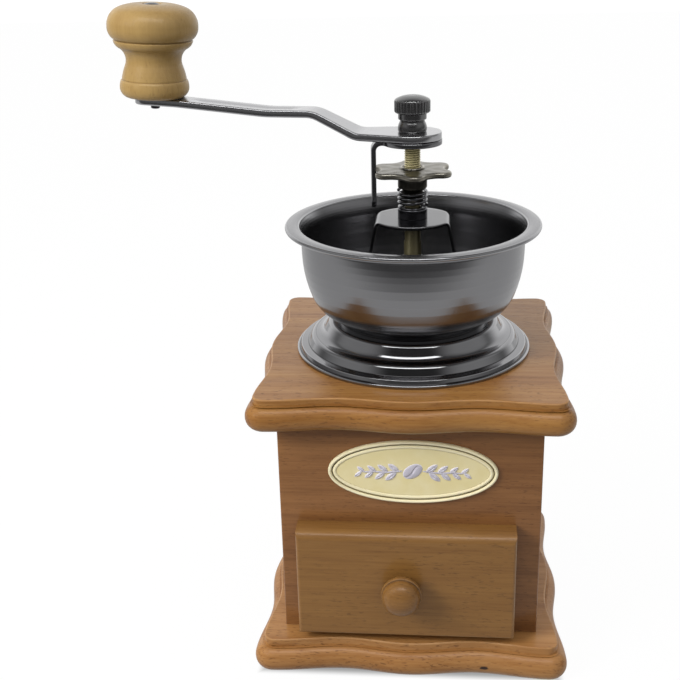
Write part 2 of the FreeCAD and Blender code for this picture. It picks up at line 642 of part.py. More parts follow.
def bearings(parts):
    """The bridge over the hopper's throat, the strap below the burrs, and their two bushes."""
    drop = BRIDGE_TOP - BRIDGE_THICK / 2
    foot_z = BOWL_Z0 + SHEET + BRIDGE_THICK / 2
    knee = BRIDGE_SHOULDER + (drop - foot_z) * math.tan(math.radians(BRIDGE_SPLAY))
    line = [(-BRIDGE_FOOT_END, foot_z), (-knee, foot_z), (-BRIDGE_SHOULDER, drop),
            (BRIDGE_SHOULDER, drop), (knee, foot_z), (BRIDGE_FOOT_END, foot_z)]
    strip = bent_strip(line, [2.0, 2.2, 2.2, 2.0], BRIDGE_THICK, BRIDGE_LEG_WIDE)
    strip = strip.common(rod(BRIDGE_FOOT_END, BOWL_Z0, BRIDGE_TOP + 1))
    disc = rod(BRIDGE_DISC, BRIDGE_TOP - BRIDGE_THICK, BRIDGE_TOP)
    reach = BRIDGE_SHOULDER - 2.0
    disc = disc.common(block(-reach, reach, -20, 20, 0, BRIDGE_TOP + 1))
    bridge = strip.fuse(disc).cut(rod(BUSH_NECK, BRIDGE_TOP - 3, BRIDGE_TOP + 1))
    for x in (-SCREW_RING, SCREW_RING):
        bridge = bridge.cut(rod(SCREW_HOLE, foot_z - 2, foot_z + 2, x))
    parts["bridge"] = bridge.removeSplitter()
    bore = THREAD + RUNNING
    sheet_low = BRIDGE_TOP - BRIDGE_THICK
    low = sheet_low - BUSH_FLANGE_THICK
    parts["bridge_bush"] = turned((bore, low), (BUSH_FLANGE, low), (BUSH_FLANGE, sheet_low),
                                  (BUSH_NECK, sheet_low), (BUSH_NECK, BRIDGE_TOP), (BUSH, BRIDGE_TOP),
                                  (BUSH, BUSH_Z1 - ARRIS), (BUSH - ARRIS, BUSH_Z1), (bore, BUSH_Z1))

    low_z = STRAP_Z0 + STRAP_THICK / 2
    high_z = BODY_Z1 - STRAP_THICK / 2
    line = [(-STRAP_END, high_z), (-STRAP_FOOT, high_z), (-STRAP_HALF, low_z),
            (STRAP_HALF, low_z), (STRAP_FOOT, high_z), (STRAP_END, high_z)]
    strap = bent_strip(line, [2.5, 3.0, 3.0, 2.5], STRAP_THICK, STRAP_WIDE)
    strap = strap.cut(rod(LOWER_BUSH_NECK, STRAP_Z0 - 1, STRAP_Z0 + 3))
    for x in (-STRAP_SCREW, STRAP_SCREW):
        strap = strap.cut(rod(SCREW_HOLE, high_z - 2, high_z + 2, x))
    parts["lower_bracket"] = strap
    bore = LOWER_JOURNAL + RUNNING
    top = STRAP_Z0 + STRAP_THICK
    parts["lower_bush"] = turned((bore, STRAP_Z0 - 1.0), (LOWER_BUSH, STRAP_Z0 - 1.0),
                                 (LOWER_BUSH, STRAP_Z0), (LOWER_BUSH_NECK, STRAP_Z0),
                                 (LOWER_BUSH_NECK, top), (LOWER_BUSH, top),
                                 (LOWER_BUSH, top + LOWER_BUSH_HIGH), (bore, top + LOWER_BUSH_HIGH))
    seat = BODY_Z1 - STRAP_THICK
    made = [screw(x, 0, seat, BRACKET_SCREW_LONG, SCREW_SHANK, SCREW_HEAD, SCREW_HEAD_HIGH, up=-1)
            for x in (-STRAP_SCREW, STRAP_SCREW)]
    parts["bracket_screws"] = Part.makeCompound(made)


def shaft(parts):
    """The shaft: lower journal, shank, thread, journal for the clip, and a top with two flats."""
    outline = [(LOWER_JOURNAL - ARRIS, SHAFT_Z0), (LOWER_JOURNAL, SHAFT_Z0 + ARRIS),
               (LOWER_JOURNAL, BURR_Z0 + BURR_LIFT), (SHANK, BURR_Z0 + BURR_LIFT), (SHANK, SHANK_Z1),
               (THREAD, SHANK_Z1 + SHANK - THREAD)]
    turns = int((CLIP_JOURNAL_Z0 - THREAD_Z0) / THREAD_PITCH)
    for turn in range(turns):
        crest = THREAD_Z0 + THREAD_PITCH * turn
        outline += [(THREAD, crest), (THREAD - THREAD_DEPTH, crest + THREAD_PITCH * THREAD_ROOT_AT)]
    outline += [(THREAD, THREAD_Z0 + THREAD_PITCH * turns), (THREAD, CLIP_JOURNAL_Z0),
                (CLIP_JOURNAL, CLIP_JOURNAL_Z0), (CLIP_JOURNAL, SHAFT_Z1 - ARRIS),
                (CLIP_JOURNAL - ARRIS, SHAFT_Z1), (0, SHAFT_Z1)]
    body = turned((0, SHAFT_Z0), *outline)
    for side in (-1, 1):
        low, high = sorted((side * FLAT_HALF, side * 8.0))
        flat = block(-8, 8, low, high, ARM_Z0, ARM_Z0 + ARM_THICK)
        flat.rotate(Vector(0, 0, 0), Vector(0, 0, 1), -ARM_BACK)
        body = body.cut(flat)
    parts["crank_shaft"] = body


def coil_spring(parts):
    """The spring as one unbroken round wire whose two ends run straight for one diameter."""
    rise = SPRING_Z1 - SPRING_Z0
    pieces = int(round(SPRING_TURNS * 4))

    def on_coil(turn):
        angle = 2 * math.pi * turn
        return Vector(SPRING_MEAN * math.cos(angle), SPRING_MEAN * math.sin(angle),
                      SPRING_Z0 + rise * turn / SPRING_TURNS)

    def heading(turn):
        return (on_coil(turn + 1e-4) - on_coil(turn - 1e-4)).normalize()

    wire = [Part.LineSegment(on_coil(0) - heading(0) * SPRING_WIRE, on_coil(0)).toShape()]
    for piece in range(pieces):
        start, end = piece / 4.0, (piece + 1) / 4.0
        wire += biarc(on_coil(start), heading(start), on_coil(end), heading(end))
    last = SPRING_TURNS
    wire.append(Part.LineSegment(on_coil(last), on_coil(last) + heading(last) * SPRING_WIRE).toShape())
    path = Part.Wire(wire)
    section = Part.Wire([Part.Circle(on_coil(0) - heading(0) * SPRING_WIRE, heading(0),
                                     SPRING_WIRE / 2).toShape()])
    tube = path.makePipeShell([section], True, False)
    parts["coil_spring"] = tube
    points = path.discretize(Number=600)
    between = path.Length / 600
    least = min(points[i].distanceToPoint(points[j]) for i in range(0, 600, 2)
                for j in range(i, 600, 2) if (j - i) * between > 4 * SPRING_WIRE)
    print("coil spring: length %.1f mm, volume ratio %.3f, least gap to itself %.2f mm"
          % (path.Length, tube.Volume / (math.pi * SPRING_WIRE ** 2 / 4 * path.Length),
             least - SPRING_WIRE))


def biarc(start, start_heading, end, end_heading):
    """Two arcs that leave start and reach end along the given headings."""
    chord = end - start
    sum_heading = start_heading + end_heading
    a = 2 * (1 - start_heading.dot(end_heading))
    b = chord.dot(sum_heading)
    reach = (-b + math.sqrt(b * b + a * chord.dot(chord))) / a
    first, second = start + start_heading * reach, end - end_heading * reach
    joint = (first + second) * 0.5
    made = []
    for low, corner, high in ((start, first, joint), (joint, second, end)):
        base = (low + high) * 0.5
        half = low.sub(corner).getAngle(high.sub(corner)) / 2
        length = corner.distanceToPoint(low)
        radius = length * math.tan(half)
        away = radius / math.sin(half) - radius
        middle = corner + (base - corner).normalize() * away
        made.append(Part.Arc(low, middle, high).toShape())
    return made


def star_wheel(parts):
    """The six-lobed adjusting wheel: round lobes joined by round notches, on a threaded hub."""
    lobe_ring = LOBE_TIP - LOBE_ROUND
    step = math.pi / LOBES
    gap = LOBE_ROUND - NOTCH
    notch_ring = (lobe_ring ** 2 - gap ** 2) / (2 * (lobe_ring * math.cos(step) + gap))
    notch_round = notch_ring - NOTCH

    def polar(radius, angle):
        return Vector(radius * math.cos(angle), radius * math.sin(angle), 0)

    made = []
    first = math.radians(180 + CLIP_TURN) - step
    for lobe in range(LOBES):
        middle = first + 2 * step * lobe
        centre = polar(lobe_ring, middle)
        touch = []
        for side in (-1, 1):
            towards = (polar(notch_ring, middle + side * step) - centre).normalize()
            touch.append(centre + towards * LOBE_ROUND)
        made.append(arc_middle(touch[0], polar(LOBE_TIP, middle), touch[1]))
        after = touch[0]
        after = Vector(after.x * math.cos(2 * step) - after.y * math.sin(2 * step),
                       after.x * math.sin(2 * step) + after.y * math.cos(2 * step), 0)
        made.append(arc_middle(touch[1], polar(NOTCH, middle + step), after))
    star = Part.Face(Part.Wire(made)).extrude(Vector(0, 0, WHEEL_Z1 - WHEEL_Z0))
    star.translate(Vector(0, 0, WHEEL_Z0))
    level = [e for e in star.Edges if e.BoundBox.ZMax - e.BoundBox.ZMin < 1e-6]
    star = star.makeFillet(LOBE_EDGE, level)
    bore = THREAD + RUNNING
    hub = turned((bore, WHEEL_SPIGOT_Z0), (WHEEL_SPIGOT, WHEEL_SPIGOT_Z0),
                 (WHEEL_SPIGOT, WHEEL_HUB_Z0), (WHEEL_HUB - ARRIS, WHEEL_HUB_Z0),
                 (WHEEL_HUB, WHEEL_HUB_Z0 + ARRIS), (WHEEL_HUB, WHEEL_Z0 + 0.4),
                 (WHEEL_COLLAR, WHEEL_Z0 + 0.8), (WHEEL_COLLAR, WHEEL_COLLAR_Z1 - ARRIS),
                 (WHEEL_COLLAR - ARRIS, WHEEL_COLLAR_Z1), (bore + ARRIS, WHEEL_COLLAR_Z1),
                 (bore, WHEEL_COLLAR_Z1 - ARRIS))
    star = star.cut(rod(bore + ARRIS, WHEEL_Z0 - 1, WHEEL_Z1 + 1))
    parts["star_wheel"] = star.fuse(hub).removeSplitter()
    hole = bore + 2 * HOLE_PLAY
    washer_top = WASHER_Z0 + WASHER_THICK
    parts["spring_washer"] = turned((hole, WASHER_Z0), (WASHER_RADIUS, WASHER_Z0),
                                    (WASHER_RADIUS, washer_top), (hole, washer_top))


def locking_clip(parts):
    """A round eye under the arm with a leg that drops through a notch of the wheel."""
    middle = CLIP_Z0 + CLIP_THICK / 2
    leg = bent_strip([(0, middle), (-CLIP_LEG_AT, middle), (-CLIP_LEG_AT, CLIP_LOW)], [CLIP_BEND],
                     CLIP_THICK, CLIP_WIDE)
    eye = rod(CLIP_EYE, CLIP_Z0, CLIP_Z0 + CLIP_THICK)
    clip = leg.fuse(eye).cut(rod(CLIP_JOURNAL + RUNNING, CLIP_Z0 - 1, CLIP_Z0 + 4))
    clip.rotate(Vector(0, 0, 0), Vector(0, 0, 1), CLIP_TURN)
    parts["locking_clip"] = clip.removeSplitter()


def arm_direction(shape):
    """Turns a shape drawn along +X to the way the resting crank points."""
    shape.rotate(Vector(0, 0, 0), Vector(0, 0, 1), 180 - ARM_BACK)
    return shape


def arm_climb(reach):
    """How far the outer arm has climbed at this radius, which lies past ARM_SEAT_FROM."""
    climb = (ARM_SEAT_FROM - ARM_FLAT_TO) * math.tan(math.radians(ARM_CLIMB))
    return climb + (reach - ARM_SEAT_FROM) * math.tan(math.radians(SEAT_SLOPE))


def arm_line():
    """The middle line of the arm: level at the eye, a double bend up, level, then a slow climb."""
    low = ARM_Z0 + ARM_THICK / 2
    high = low + ARM_RISE
    end = GRIP_AT + ARM_PAST + 1
    return [(-ARM_EYE - 1, low), (ARM_BEND[0], low), (ARM_BEND[1], high), (ARM_FLAT_TO, high),
            (ARM_SEAT_FROM, high + arm_climb(ARM_SEAT_FROM)), (end, high + arm_climb(end))]


def grip_foot():
    """Height of the arm's upper face where the grip stands on it."""
    middle = ARM_Z0 + ARM_THICK / 2 + ARM_RISE + arm_climb(GRIP_AT)
    return middle + ARM_THICK / 2 / math.cos(math.radians(SEAT_SLOPE))


def crank(parts):
    """The arm, and the cap nut that clamps it to the shaft."""
    bar = bent_strip(arm_line(), [10.0, 12.0, 60.0, 60.0], ARM_THICK, 2 * ARM_EYE + 2)
    shoulder = (ARM_BEND[0] + 0.6, ARM_SHOULDER_HALF)
    middle = (ARM_BEND[1] + 2.0, ARM_MIDDLE_HALF)
    base = math.atan2(shoulder[1], shoulder[0])
    touch = base + math.acos(ARM_EYE / math.hypot(*shoulder))
    tangent = (ARM_EYE * math.cos(touch), ARM_EYE * math.sin(touch))
    end = GRIP_AT + ARM_PAST
    half = [tangent, shoulder, middle, (end - ARM_END_HALF, ARM_END_HALF)]
    upper = [Vector(x, y, 0) for x, y in half]
    lower = [Vector(x, -y, 0) for x, y in half]
    outline = [Part.LineSegment(a, b).toShape() for a, b in zip(upper, upper[1:])]
    outline += [Part.LineSegment(a, b).toShape() for a, b in zip(lower, lower[1:])]
    outline.append(arc_middle(upper[-1], Vector(end, 0, 0), lower[-1]))
    outline.append(arc_middle(upper[0], Vector(-ARM_EYE, 0, 0), lower[0]))
    plan = Part.Face(Part.Wire(Part.__sortEdges__(outline)))
    plan.translate(Vector(0, 0, ARM_Z0 - 5))
    arm = bar.common(plan.extrude(Vector(0, 0, 40)))
    eye_round = CLIP_JOURNAL + EYE_PLAY
    eye_flat = FLAT_HALF + EYE_PLAY
    eye_hole = rod(eye_round, ARM_Z0 - 1, ARM_Z0 + 5)
    eye_hole = eye_hole.common(block(-eye_round, eye_round, -eye_flat, eye_flat, ARM_Z0 - 2, ARM_Z0 + 6))
    arm = arm.cut(eye_hole).cut(tilted(rod(RIVET_NECK, -20, 20)))
    parts["crank_arm"] = arm_direction(arm)

    seat = ARM_Z0 + ARM_THICK
    crown = CAP_HEAD - 0.6
    bore_top = SHAFT_Z1 + HOLE_PLAY
    cap = turned((CLIP_JOURNAL, seat), (5.8, seat), (6.1, seat + 0.6),
                 ((5.9, seat + 2.9), (5.2, seat + 4.4)), (5.2, seat + 5.0), (6.0, seat + 5.3),
                 (6.0, seat + 7.9), (CAP_HEAD - 0.5, seat + 8.0), (CAP_HEAD, seat + 8.5),
                 (CAP_HEAD, seat + 13.1), (crown, seat + 13.6), dome(crown, seat + 13.6, 1.5),
                 (0, bore_top), (CLIP_JOURNAL, bore_top))
    rib_gap = rod(CAP_RIB, seat + 7.4, seat + 14.2, CAP_HEAD + 0.12)
    parts["cap_nut"] = cap.cut(around(rib_gap, CAP_RIBS))


def tilted(shape):
    """Moves a shape standing on the origin to the grip's seat, square to the climbing arm."""
    shape.rotate(Vector(0, 0, 0), Vector(0, 1, 0), -SEAT_SLOPE)
    shape.translate(Vector(GRIP_AT, 0, grip_foot()))
    return shape


def grip(parts):
    """The turned wooden grip and the riveted pin that it spins on."""
    low, high = GRIP_GAP, GRIP_GAP + GRIP_HIGH
    bore = GRIP_PIN + RUNNING
    pocket = GRIP_PIN_HEAD + 0.4
    pocket_low = high - GRIP_POCKET
    outline = [(bore, low), (12.6, low), ((14.32, low + 1.45), (15.1, low + 3.9)),
               ((14.98, low + 5.4), (14.6, low + 6.9)), (14.0, low + 7.45), (14.0, low + 8.2),
               ((13.3, low + 11.0), (12.3, low + 13.9)), ((12.1, low + 16.4), (14.8, low + 20.7)),
               ((16.3, low + 21.9), (17.2, low + 23.8)), (16.7, low + 24.3), (17.6, low + 24.9),
               ((19.2, low + 27.3), (19.55, low + 29.9)), ((18.4, low + 34.4), (14.2, low + 37.8)),
               ((9.0, high), (pocket, high)), (pocket, pocket_low), (bore, pocket_low)]
    parts["grip"] = arm_direction(tilted(turned(outline[0], *outline[1:])))
    under = -ARM_THICK
    rim = high - 2 * HOLE_PLAY
    pin = turned((0, under - RIVET_HIGH), (RIVET - 0.3, under - RIVET_HIGH),
                 (RIVET, under - RIVET_HIGH + 0.3), (RIVET, under), (RIVET_NECK, under), (RIVET_NECK, 0),
                 (GRIP_PIN, 0), (GRIP_PIN, pocket_low + HOLE_PLAY), (GRIP_PIN_HEAD, pocket_low + HOLE_PLAY),
                 (GRIP_PIN_HEAD, rim), dome(GRIP_PIN_HEAD, rim, 0.7))
    parts["grip_pin"] = arm_direction(tilted(pin))


def main():
    """Builds every piece, checks it and writes it to its own file."""
    parts = {}
    for build in (wooden_case, drawer, plaque, hopper, burr_set, bearings, shaft, coil_spring,
                  star_wheel, locking_clip, crank, grip):
        build(parts)
    os.makedirs("parts", exist_ok=True)
    for name, shape in parts.items():
        if not shape.isValid() or not shape.Solids:
            print("not sound:", name)
        shape.exportStep("parts/%s.step" % name)
    print(len(parts), "nodes")


main()
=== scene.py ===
# %% [markdown]
# # A box coffee grinder, dressed around its packed frame
#
# The packed model is the frame. It says where every piece of the grinder is, how large it is and
# which body it moves with, and nothing here moves it. This lesson builds finer surfaces over those
# pieces, gives each one its wood, metal or enamel, and sets up the camera and the light.

# %% Load the frame
import math

import bpy
import mathutils
import numpy as np
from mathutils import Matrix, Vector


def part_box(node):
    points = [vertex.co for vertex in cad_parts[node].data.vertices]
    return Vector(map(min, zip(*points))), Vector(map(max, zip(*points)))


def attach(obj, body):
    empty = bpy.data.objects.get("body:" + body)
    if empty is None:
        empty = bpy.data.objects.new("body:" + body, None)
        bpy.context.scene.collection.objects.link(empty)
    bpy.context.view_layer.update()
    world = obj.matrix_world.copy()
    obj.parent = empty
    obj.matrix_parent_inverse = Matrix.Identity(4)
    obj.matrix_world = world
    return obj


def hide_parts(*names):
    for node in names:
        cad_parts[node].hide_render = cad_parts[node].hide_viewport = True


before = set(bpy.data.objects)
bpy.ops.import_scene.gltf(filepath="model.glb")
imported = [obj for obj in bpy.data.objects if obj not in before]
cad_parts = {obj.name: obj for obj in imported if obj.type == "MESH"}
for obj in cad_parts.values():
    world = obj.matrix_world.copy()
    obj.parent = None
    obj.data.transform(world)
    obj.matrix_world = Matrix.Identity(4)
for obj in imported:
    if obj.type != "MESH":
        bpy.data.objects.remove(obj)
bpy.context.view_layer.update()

MM = 0.001


def span(node):
    """Lowest and highest corner of a packed node, in millimetres."""
    low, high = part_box(node)
    return np.array(low) / MM, np.array(high) / MM


# %% [markdown]
# ## The camera
#
# A camera in Blender looks along its own -Z, with its own +Y up in the picture. The photo's camera
# was worked out from the corners of the boards: it stands half a metre in front of the grinder, a
# little to the right, and looks down by 21 degrees. The three axes are built from those angles.

# %% The camera
CAMERA_PLACE = np.array([13.77, -476.82, 318.99])
CAMERA_YAW, CAMERA_PITCH, CAMERA_ROLL = -0.098, 0.370, 0.027
FOCAL_PIXELS, PICTURE_PIXELS, SENSOR = 1128.15, 680.0, 36.0


def camera_axes(yaw, pitch, roll):
    """Right, up and backward directions of a camera turned by yaw, tipped down by pitch, then rolled."""
    ahead = np.array([math.sin(yaw) * math.cos(pitch), math.cos(yaw) * math.cos(pitch), -math.sin(pitch)])
    right = np.array([math.cos(yaw), -math.sin(yaw), 0.0])
    down = np.cross(ahead, right)
    rolled_right = math.cos(roll) * right + math.sin(roll) * down
    rolled_down = -math.sin(roll) * right + math.cos(roll) * down
    return np.stack([rolled_right, -rolled_down, -ahead], axis=1)


def in_scene(name, data, axes=np.eye(3), place=(0.0, 0.0, 0.0)):
    """A new object in the scene, with these axes as its own X, Y and Z, at a place in metres."""
    made = bpy.data.objects.new(name, data)
    placed = np.eye(4)
    placed[:3, :3], placed[:3, 3] = axes, place
    made.matrix_world = mathutils.Matrix(placed.tolist())
    bpy.context.scene.collection.objects.link(made)
    return made


camera = in_scene("camera", bpy.data.cameras.new("camera"),
                  camera_axes(CAMERA_YAW, CAMERA_PITCH, CAMERA_ROLL), CAMERA_PLACE * MM)
camera.data.sensor_width = SENSOR
camera.data.lens = SENSOR * FOCAL_PIXELS / PICTURE_PIXELS
bpy.context.scene.camera = camera
print("lens %.1f mm" % camera.data.lens)

# %% [markdown]
# ## Shader maths as expressions
#
# A node tree written node by node is hard to read. This small class wraps one socket. Arithmetic on
# it adds Math nodes, so a mask can be written as `1 - mask * 0.5`, and one method adds any other
# node from its type, its settings and the values or links of its sockets.

# %% A socket that does arithmetic
class Link:
    """A socket of a node tree, or the tree alone; arithmetic on it adds Math nodes."""

    def __init__(self, tree, socket=None):
        self.tree, self.socket = tree, socket

    def node(self, kind, settings=None, sockets=None, out=0):
        """Adds a node of this kind, sets its settings first and its sockets next; gives one output."""
        made = self.tree.nodes.new("ShaderNode" + kind)
        for name, value in (settings or {}).items():
            setattr(made, name, value)
        for name, value in (sockets or {}).items():
            if isinstance(value, Link):
                self.tree.links.new(value.socket, made.inputs[name])
            else:
                made.inputs[name].default_value = value
        return Link(self.tree, made.outputs[out])

    def math(self, operation, *values, clamp=False):
        """A Math node with this operation on the values."""
        return self.node("Math", {"operation": operation, "use_clamp": clamp}, dict(enumerate(values)))

    def __add__(self, other):
        return self.math("ADD", self, other)

    def __sub__(self, other):
        return self.math("SUBTRACT", self, other)

    def __rsub__(self, other):
        return self.math("SUBTRACT", other, self)

    def __mul__(self, other):
        return self.math("MULTIPLY", self, other)

    __radd__, __rmul__ = __add__, __mul__

    def within(self, gain=1.0):
        """This value times the gain, cut off at 0 and 1."""
        return self.math("MULTIPLY", self, gain, clamp=True)

    def between(self, low, high):
        """0 below low, 1 above high, and smooth in between."""
        return self.node("MapRange", {"interpolation_type": "SMOOTHSTEP"},
                         {"Value": self, "From Min": low, "From Max": high})

    def mixed(self, first, second):
        """The first colour where this mask is 0, and the second where it is 1."""
        return self.node("Mix", {"data_type": "RGBA"}, {0: self, 6: first, 7: second}, out=2)

    def noise(self, scale, detail, **sockets):
        """A noise on this place."""
        return self.node("TexNoise", {}, {"Vector": self, "Scale": scale, "Detail": detail, **sockets})

    def bump(self, strength, distance):
        """A normal tilted by this height."""
        return self.node("Bump", {}, {"Strength": strength, "Distance": distance, "Height": self})

    def mask(self, name):
        """A mask that comes with the mesh: edge or crease."""
        return self.node("Attribute", {"attribute_name": name}, out="Fac")


print("a link can be:", ", ".join(name for name in vars(Link) if name[0] != "_"))


# %% A colour and a material
def colour(red, green, blue):
    """A colour socket's value from screen values of 0 to 255."""
    def linear(value):
        value = value / 255.0
        return value / 12.92 if value <= 0.04045 else ((value + 0.055) / 1.055) ** 2.4
    return (linear(red), linear(green), linear(blue), 1.0)


def finish(name, varying, **constants):
    """A material: constants go on the shader's own sockets, and varying(link) gives what changes."""
    material = bpy.data.materials.new(name)
    material.use_nodes = True
    tree = material.node_tree
    shader = tree.nodes["Principled BSDF"]
    for socket, value in constants.items():
        shader.inputs[socket.replace("_", " ")].default_value = value
    for socket, link in varying(Link(tree)).items():
        tree.links.new(link.socket, shader.inputs[socket])
    return material


print("light beech:", [round(v, 3) for v in colour(170, 134, 98)[:3]])

# %% [markdown]
# ## Beech, stained and varnished
#
# The case, the boards and the drawer are beech. Its mark is a field of short dark flecks along the
# grain, over long soft streaks and slow bands of tone. Each layer is a noise whose coordinate is
# squeezed along the grain, so that its blots stretch into streaks. Stain and varnish wear thin on
# the sharp edges, so those are lighter, and that paler edge also paints the highlight along the
# arrises. The creases are darker, which is painted shade: both masks come with the mesh, as
# attributes worked out from how sharply its surface bends.

# %% A wood finish
ALONG_X, ALONG_Y, ALONG_Z = 0, 1, 2
# A layer's blots, long along the grain and wide across it in millimetres, its detail and its shift
BANDS, FIBRES, SPECKS = (120.0, 13.0, 3.0, 0), (26.0, 0.85, 3.0, 3), (3.4, 0.62, 1.0, 7)
LINES, PATCHES = (60.0, 2.4, 2.0, 11), (40.0, 30.0, 2.0, 17)
SPECK_EDGE, LINE_EDGE, SPECKLED, WORN_THIN_AND_LIT = (0.60, 0.70), (0.52, 0.70), (0.30, 0.60), (0.25, 0.65)
# How strongly the sharp edges are scuffed pale, which also paints a highlight on them, and how strongly
# painted shade darkens the creases; then the fibres' depth in millimetres
SCUFFED_AND_LIT, CREASE_SHADE_GAIN, FIBRE_DEPTH = 0.4, 0.75, 0.12
# A small dark dent in the base's nose, in metres
DENT_MIDDLE, DENT_REACH, DENT_EDGE = (0.0326, -0.0665, 0.0055), (0.0021, 0.004, 0.0009), (0.75, 1.1)


def wood(name, tones, grain, shift, fleck_share=0.42, figure=0.9, fibre=1.1, rough=0.42, coat=0.32,
         crease_shade=(52, 32, 20), dented=False):
    """Beech: tone bands, fine fibres and short flecks, worn pale on edges, which also paints their highlight,
    and darker in creases, which is painted shade.
    """
    pale, deep, fleck, worn = (colour(*tone) for tone in tones)

    def varying(link):
        place = link.node("TexCoord", out="Object")

        def streaks(along, across, detail, own_shift):
            scale, start = [1 / (across * MM)] * 3, shift + own_shift
            scale[grain] = 1 / (along * MM)
            squeezed = link.node("Mapping", {}, {"Vector": place, "Scale": scale,
                                                 "Location": (start, start * 1.7, start * 0.6)})
            return squeezed.noise(1.0, detail, Roughness=0.55)

        bands, fibres, patch = streaks(*BANDS), streaks(*FIBRES), streaks(*PATCHES)
        specks, lines = streaks(*SPECKS).between(*SPECK_EDGE), streaks(*LINES).between(*LINE_EDGE)
        tone = (bands - 0.5) * figure * 2.2 + (fibres - 0.5) * fibre + lines * fibre * 0.25 + 0.42
        shade = tone.within().mixed(pale, deep)
        shade = (specks * fleck_share * patch.between(*SPECKLED)).mixed(shade, fleck)
        # pale worn edges, partly wear and partly a painted highlight along the arrises
        scuffs_and_highlight = link.mask("edge") * patch.between(*WORN_THIN_AND_LIT) * SCUFFED_AND_LIT
        shade = scuffs_and_highlight.within().mixed(shade, worn)
        # painted shade: the creases are darkened towards the crease tone
        shade = link.mask("crease").within(CREASE_SHADE_GAIN).mixed(shade, colour(*crease_shade))
        if dented:
            away = link.node("VectorMath", {"operation": "SUBTRACT"}, {0: place, 1: DENT_MIDDLE})
            away = link.node("VectorMath", {"operation": "DIVIDE"}, {0: away, 1: DENT_REACH})
            away = link.node("VectorMath", {"operation": "LENGTH"}, {0: away}, out="Value")
            shade = (away + (fibres - 0.5) * 1.2).between(*DENT_EDGE).mixed(colour(46, 26, 10), shade)
        return {"Base Color": shade, "Normal": (fibres * 0.5 - specks * 0.8).bump(0.35, FIBRE_DEPTH * MM),
                "Roughness": (fibres - 0.5) * 0.25 + specks * 0.1 + rough}
    return finish(name, varying, Coat_Weight=coat, Coat_Roughness=0.19, Specular_IOR_Level=0.25)


print("layers of the mark, mm:", *(layer[:2] for layer in (BANDS, FIBRES, SPECKS, LINES, PATCHES)))

# %% The stains and the woods
# The tones of each stain: pale, deep, fleck, and worn, the pale edge tone that also paints the highlight on
# the arrises
CASE_TONES = (142, 98, 57), (114, 74, 39), (74, 44, 24), (176, 138, 106)
BOARD_TONES = (161, 116, 62), (130, 83, 35), (84, 50, 24), (200, 158, 112)
BASE_TONES = (174, 127, 76), (142, 94, 46), (92, 56, 27), (206, 166, 120)
DRAWER_TONES = (139, 100, 51), (115, 77, 36), (80, 52, 27), (176, 142, 108)
BARE_TONES = (206, 172, 126), (182, 142, 94), (140, 100, 62), (220, 192, 150)
GRIP_TONES = (173, 143, 89), (141, 111, 63), (104, 74, 42), (200, 170, 120)

case_wood = wood("stained_beech", CASE_TONES, ALONG_X, 2.3)
side_wood = wood("stained_beech_sides", CASE_TONES, ALONG_Y, 5.1)
board_wood = wood("light_beech_top", BOARD_TONES, ALONG_X, 8.4, coat=0.24, fleck_share=0.55)
base_wood = wood("light_beech_base", BASE_TONES, ALONG_X, 21.7, coat=0.2, fleck_share=0.65, dented=True)
drawer_wood = wood("drawer_beech", DRAWER_TONES, ALONG_X, 13.9, figure=0.5)
bare_wood = wood("bare_beech", BARE_TONES, ALONG_Y, 31.2, rough=0.6, coat=0.0)
dowel_wood = wood("dowel_beech", BARE_TONES, ALONG_Z, 37.0, rough=0.6, coat=0.0)
grip_wood = wood("turned_beech", GRIP_TONES, ALONG_Z, 44.6, fleck_share=0.25, figure=0.5, fibre=0.45,
                 coat=0.2, crease_shade=(92, 68, 34))
print("wood finishes:", sum("beech" in m.name for m in bpy.data.materials))

# %% [markdown]
# ## Black nickel, cast metal, brass and enamel
#
# The bowl, the flange, the bridge and the arm are pressed steel with a black nickel plate: a dark
# mirror, a little hazy, with faint smears of handling. A metal's look is its reflection, so the
# colour stays nearly even and the roughness carries the smears. The star wheel is a casting under
# the same plate, so it has a grainy bump and a rougher sheen.

# %% Metal finishes
CREASE_SHADE_TONE, DUST = colour(20, 19, 18), colour(150, 132, 104)
SMEAR_SCALE, FINE_SCALE, RUBBED_AND_SHADED = 55.0, 420.0, 0.8


def metal(name, tone, worn, rough, smear=0.05, grain_size=0.0, grain_depth=0.0, dust=0.0, metallic=1.0):
    """A plated metal: even tone, paler where rubbed on edges, painted shade in creases, roughness with soft
    smears, and a bump where it is cast.
    """
    def varying(link):
        place = link.node("TexCoord", out="Object")
        smears, fine = place.noise(SMEAR_SCALE, 4.0), place.noise(FINE_SCALE, 2.0)
        shade = link.mask("edge").within(RUBBED_AND_SHADED).mixed(colour(*tone), colour(*worn))
        # painted shade: the creases are darkened nearly to black
        shade = link.mask("crease").within(RUBBED_AND_SHADED).mixed(shade, CREASE_SHADE_TONE)
        shade = (fine.between(0.62, 0.8) * dust).mixed(shade, DUST)
        made = {"Base Color": shade, "Roughness": (smears - 0.5) * smear * 2 + (fine - 0.5) * 0.04 + rough}
        if grain_depth:
            made["Normal"] = place.noise(1 / (grain_size * MM), 3.0).bump(0.8, grain_depth * MM)
        return made
    return finish(name, varying, Metallic=metallic)


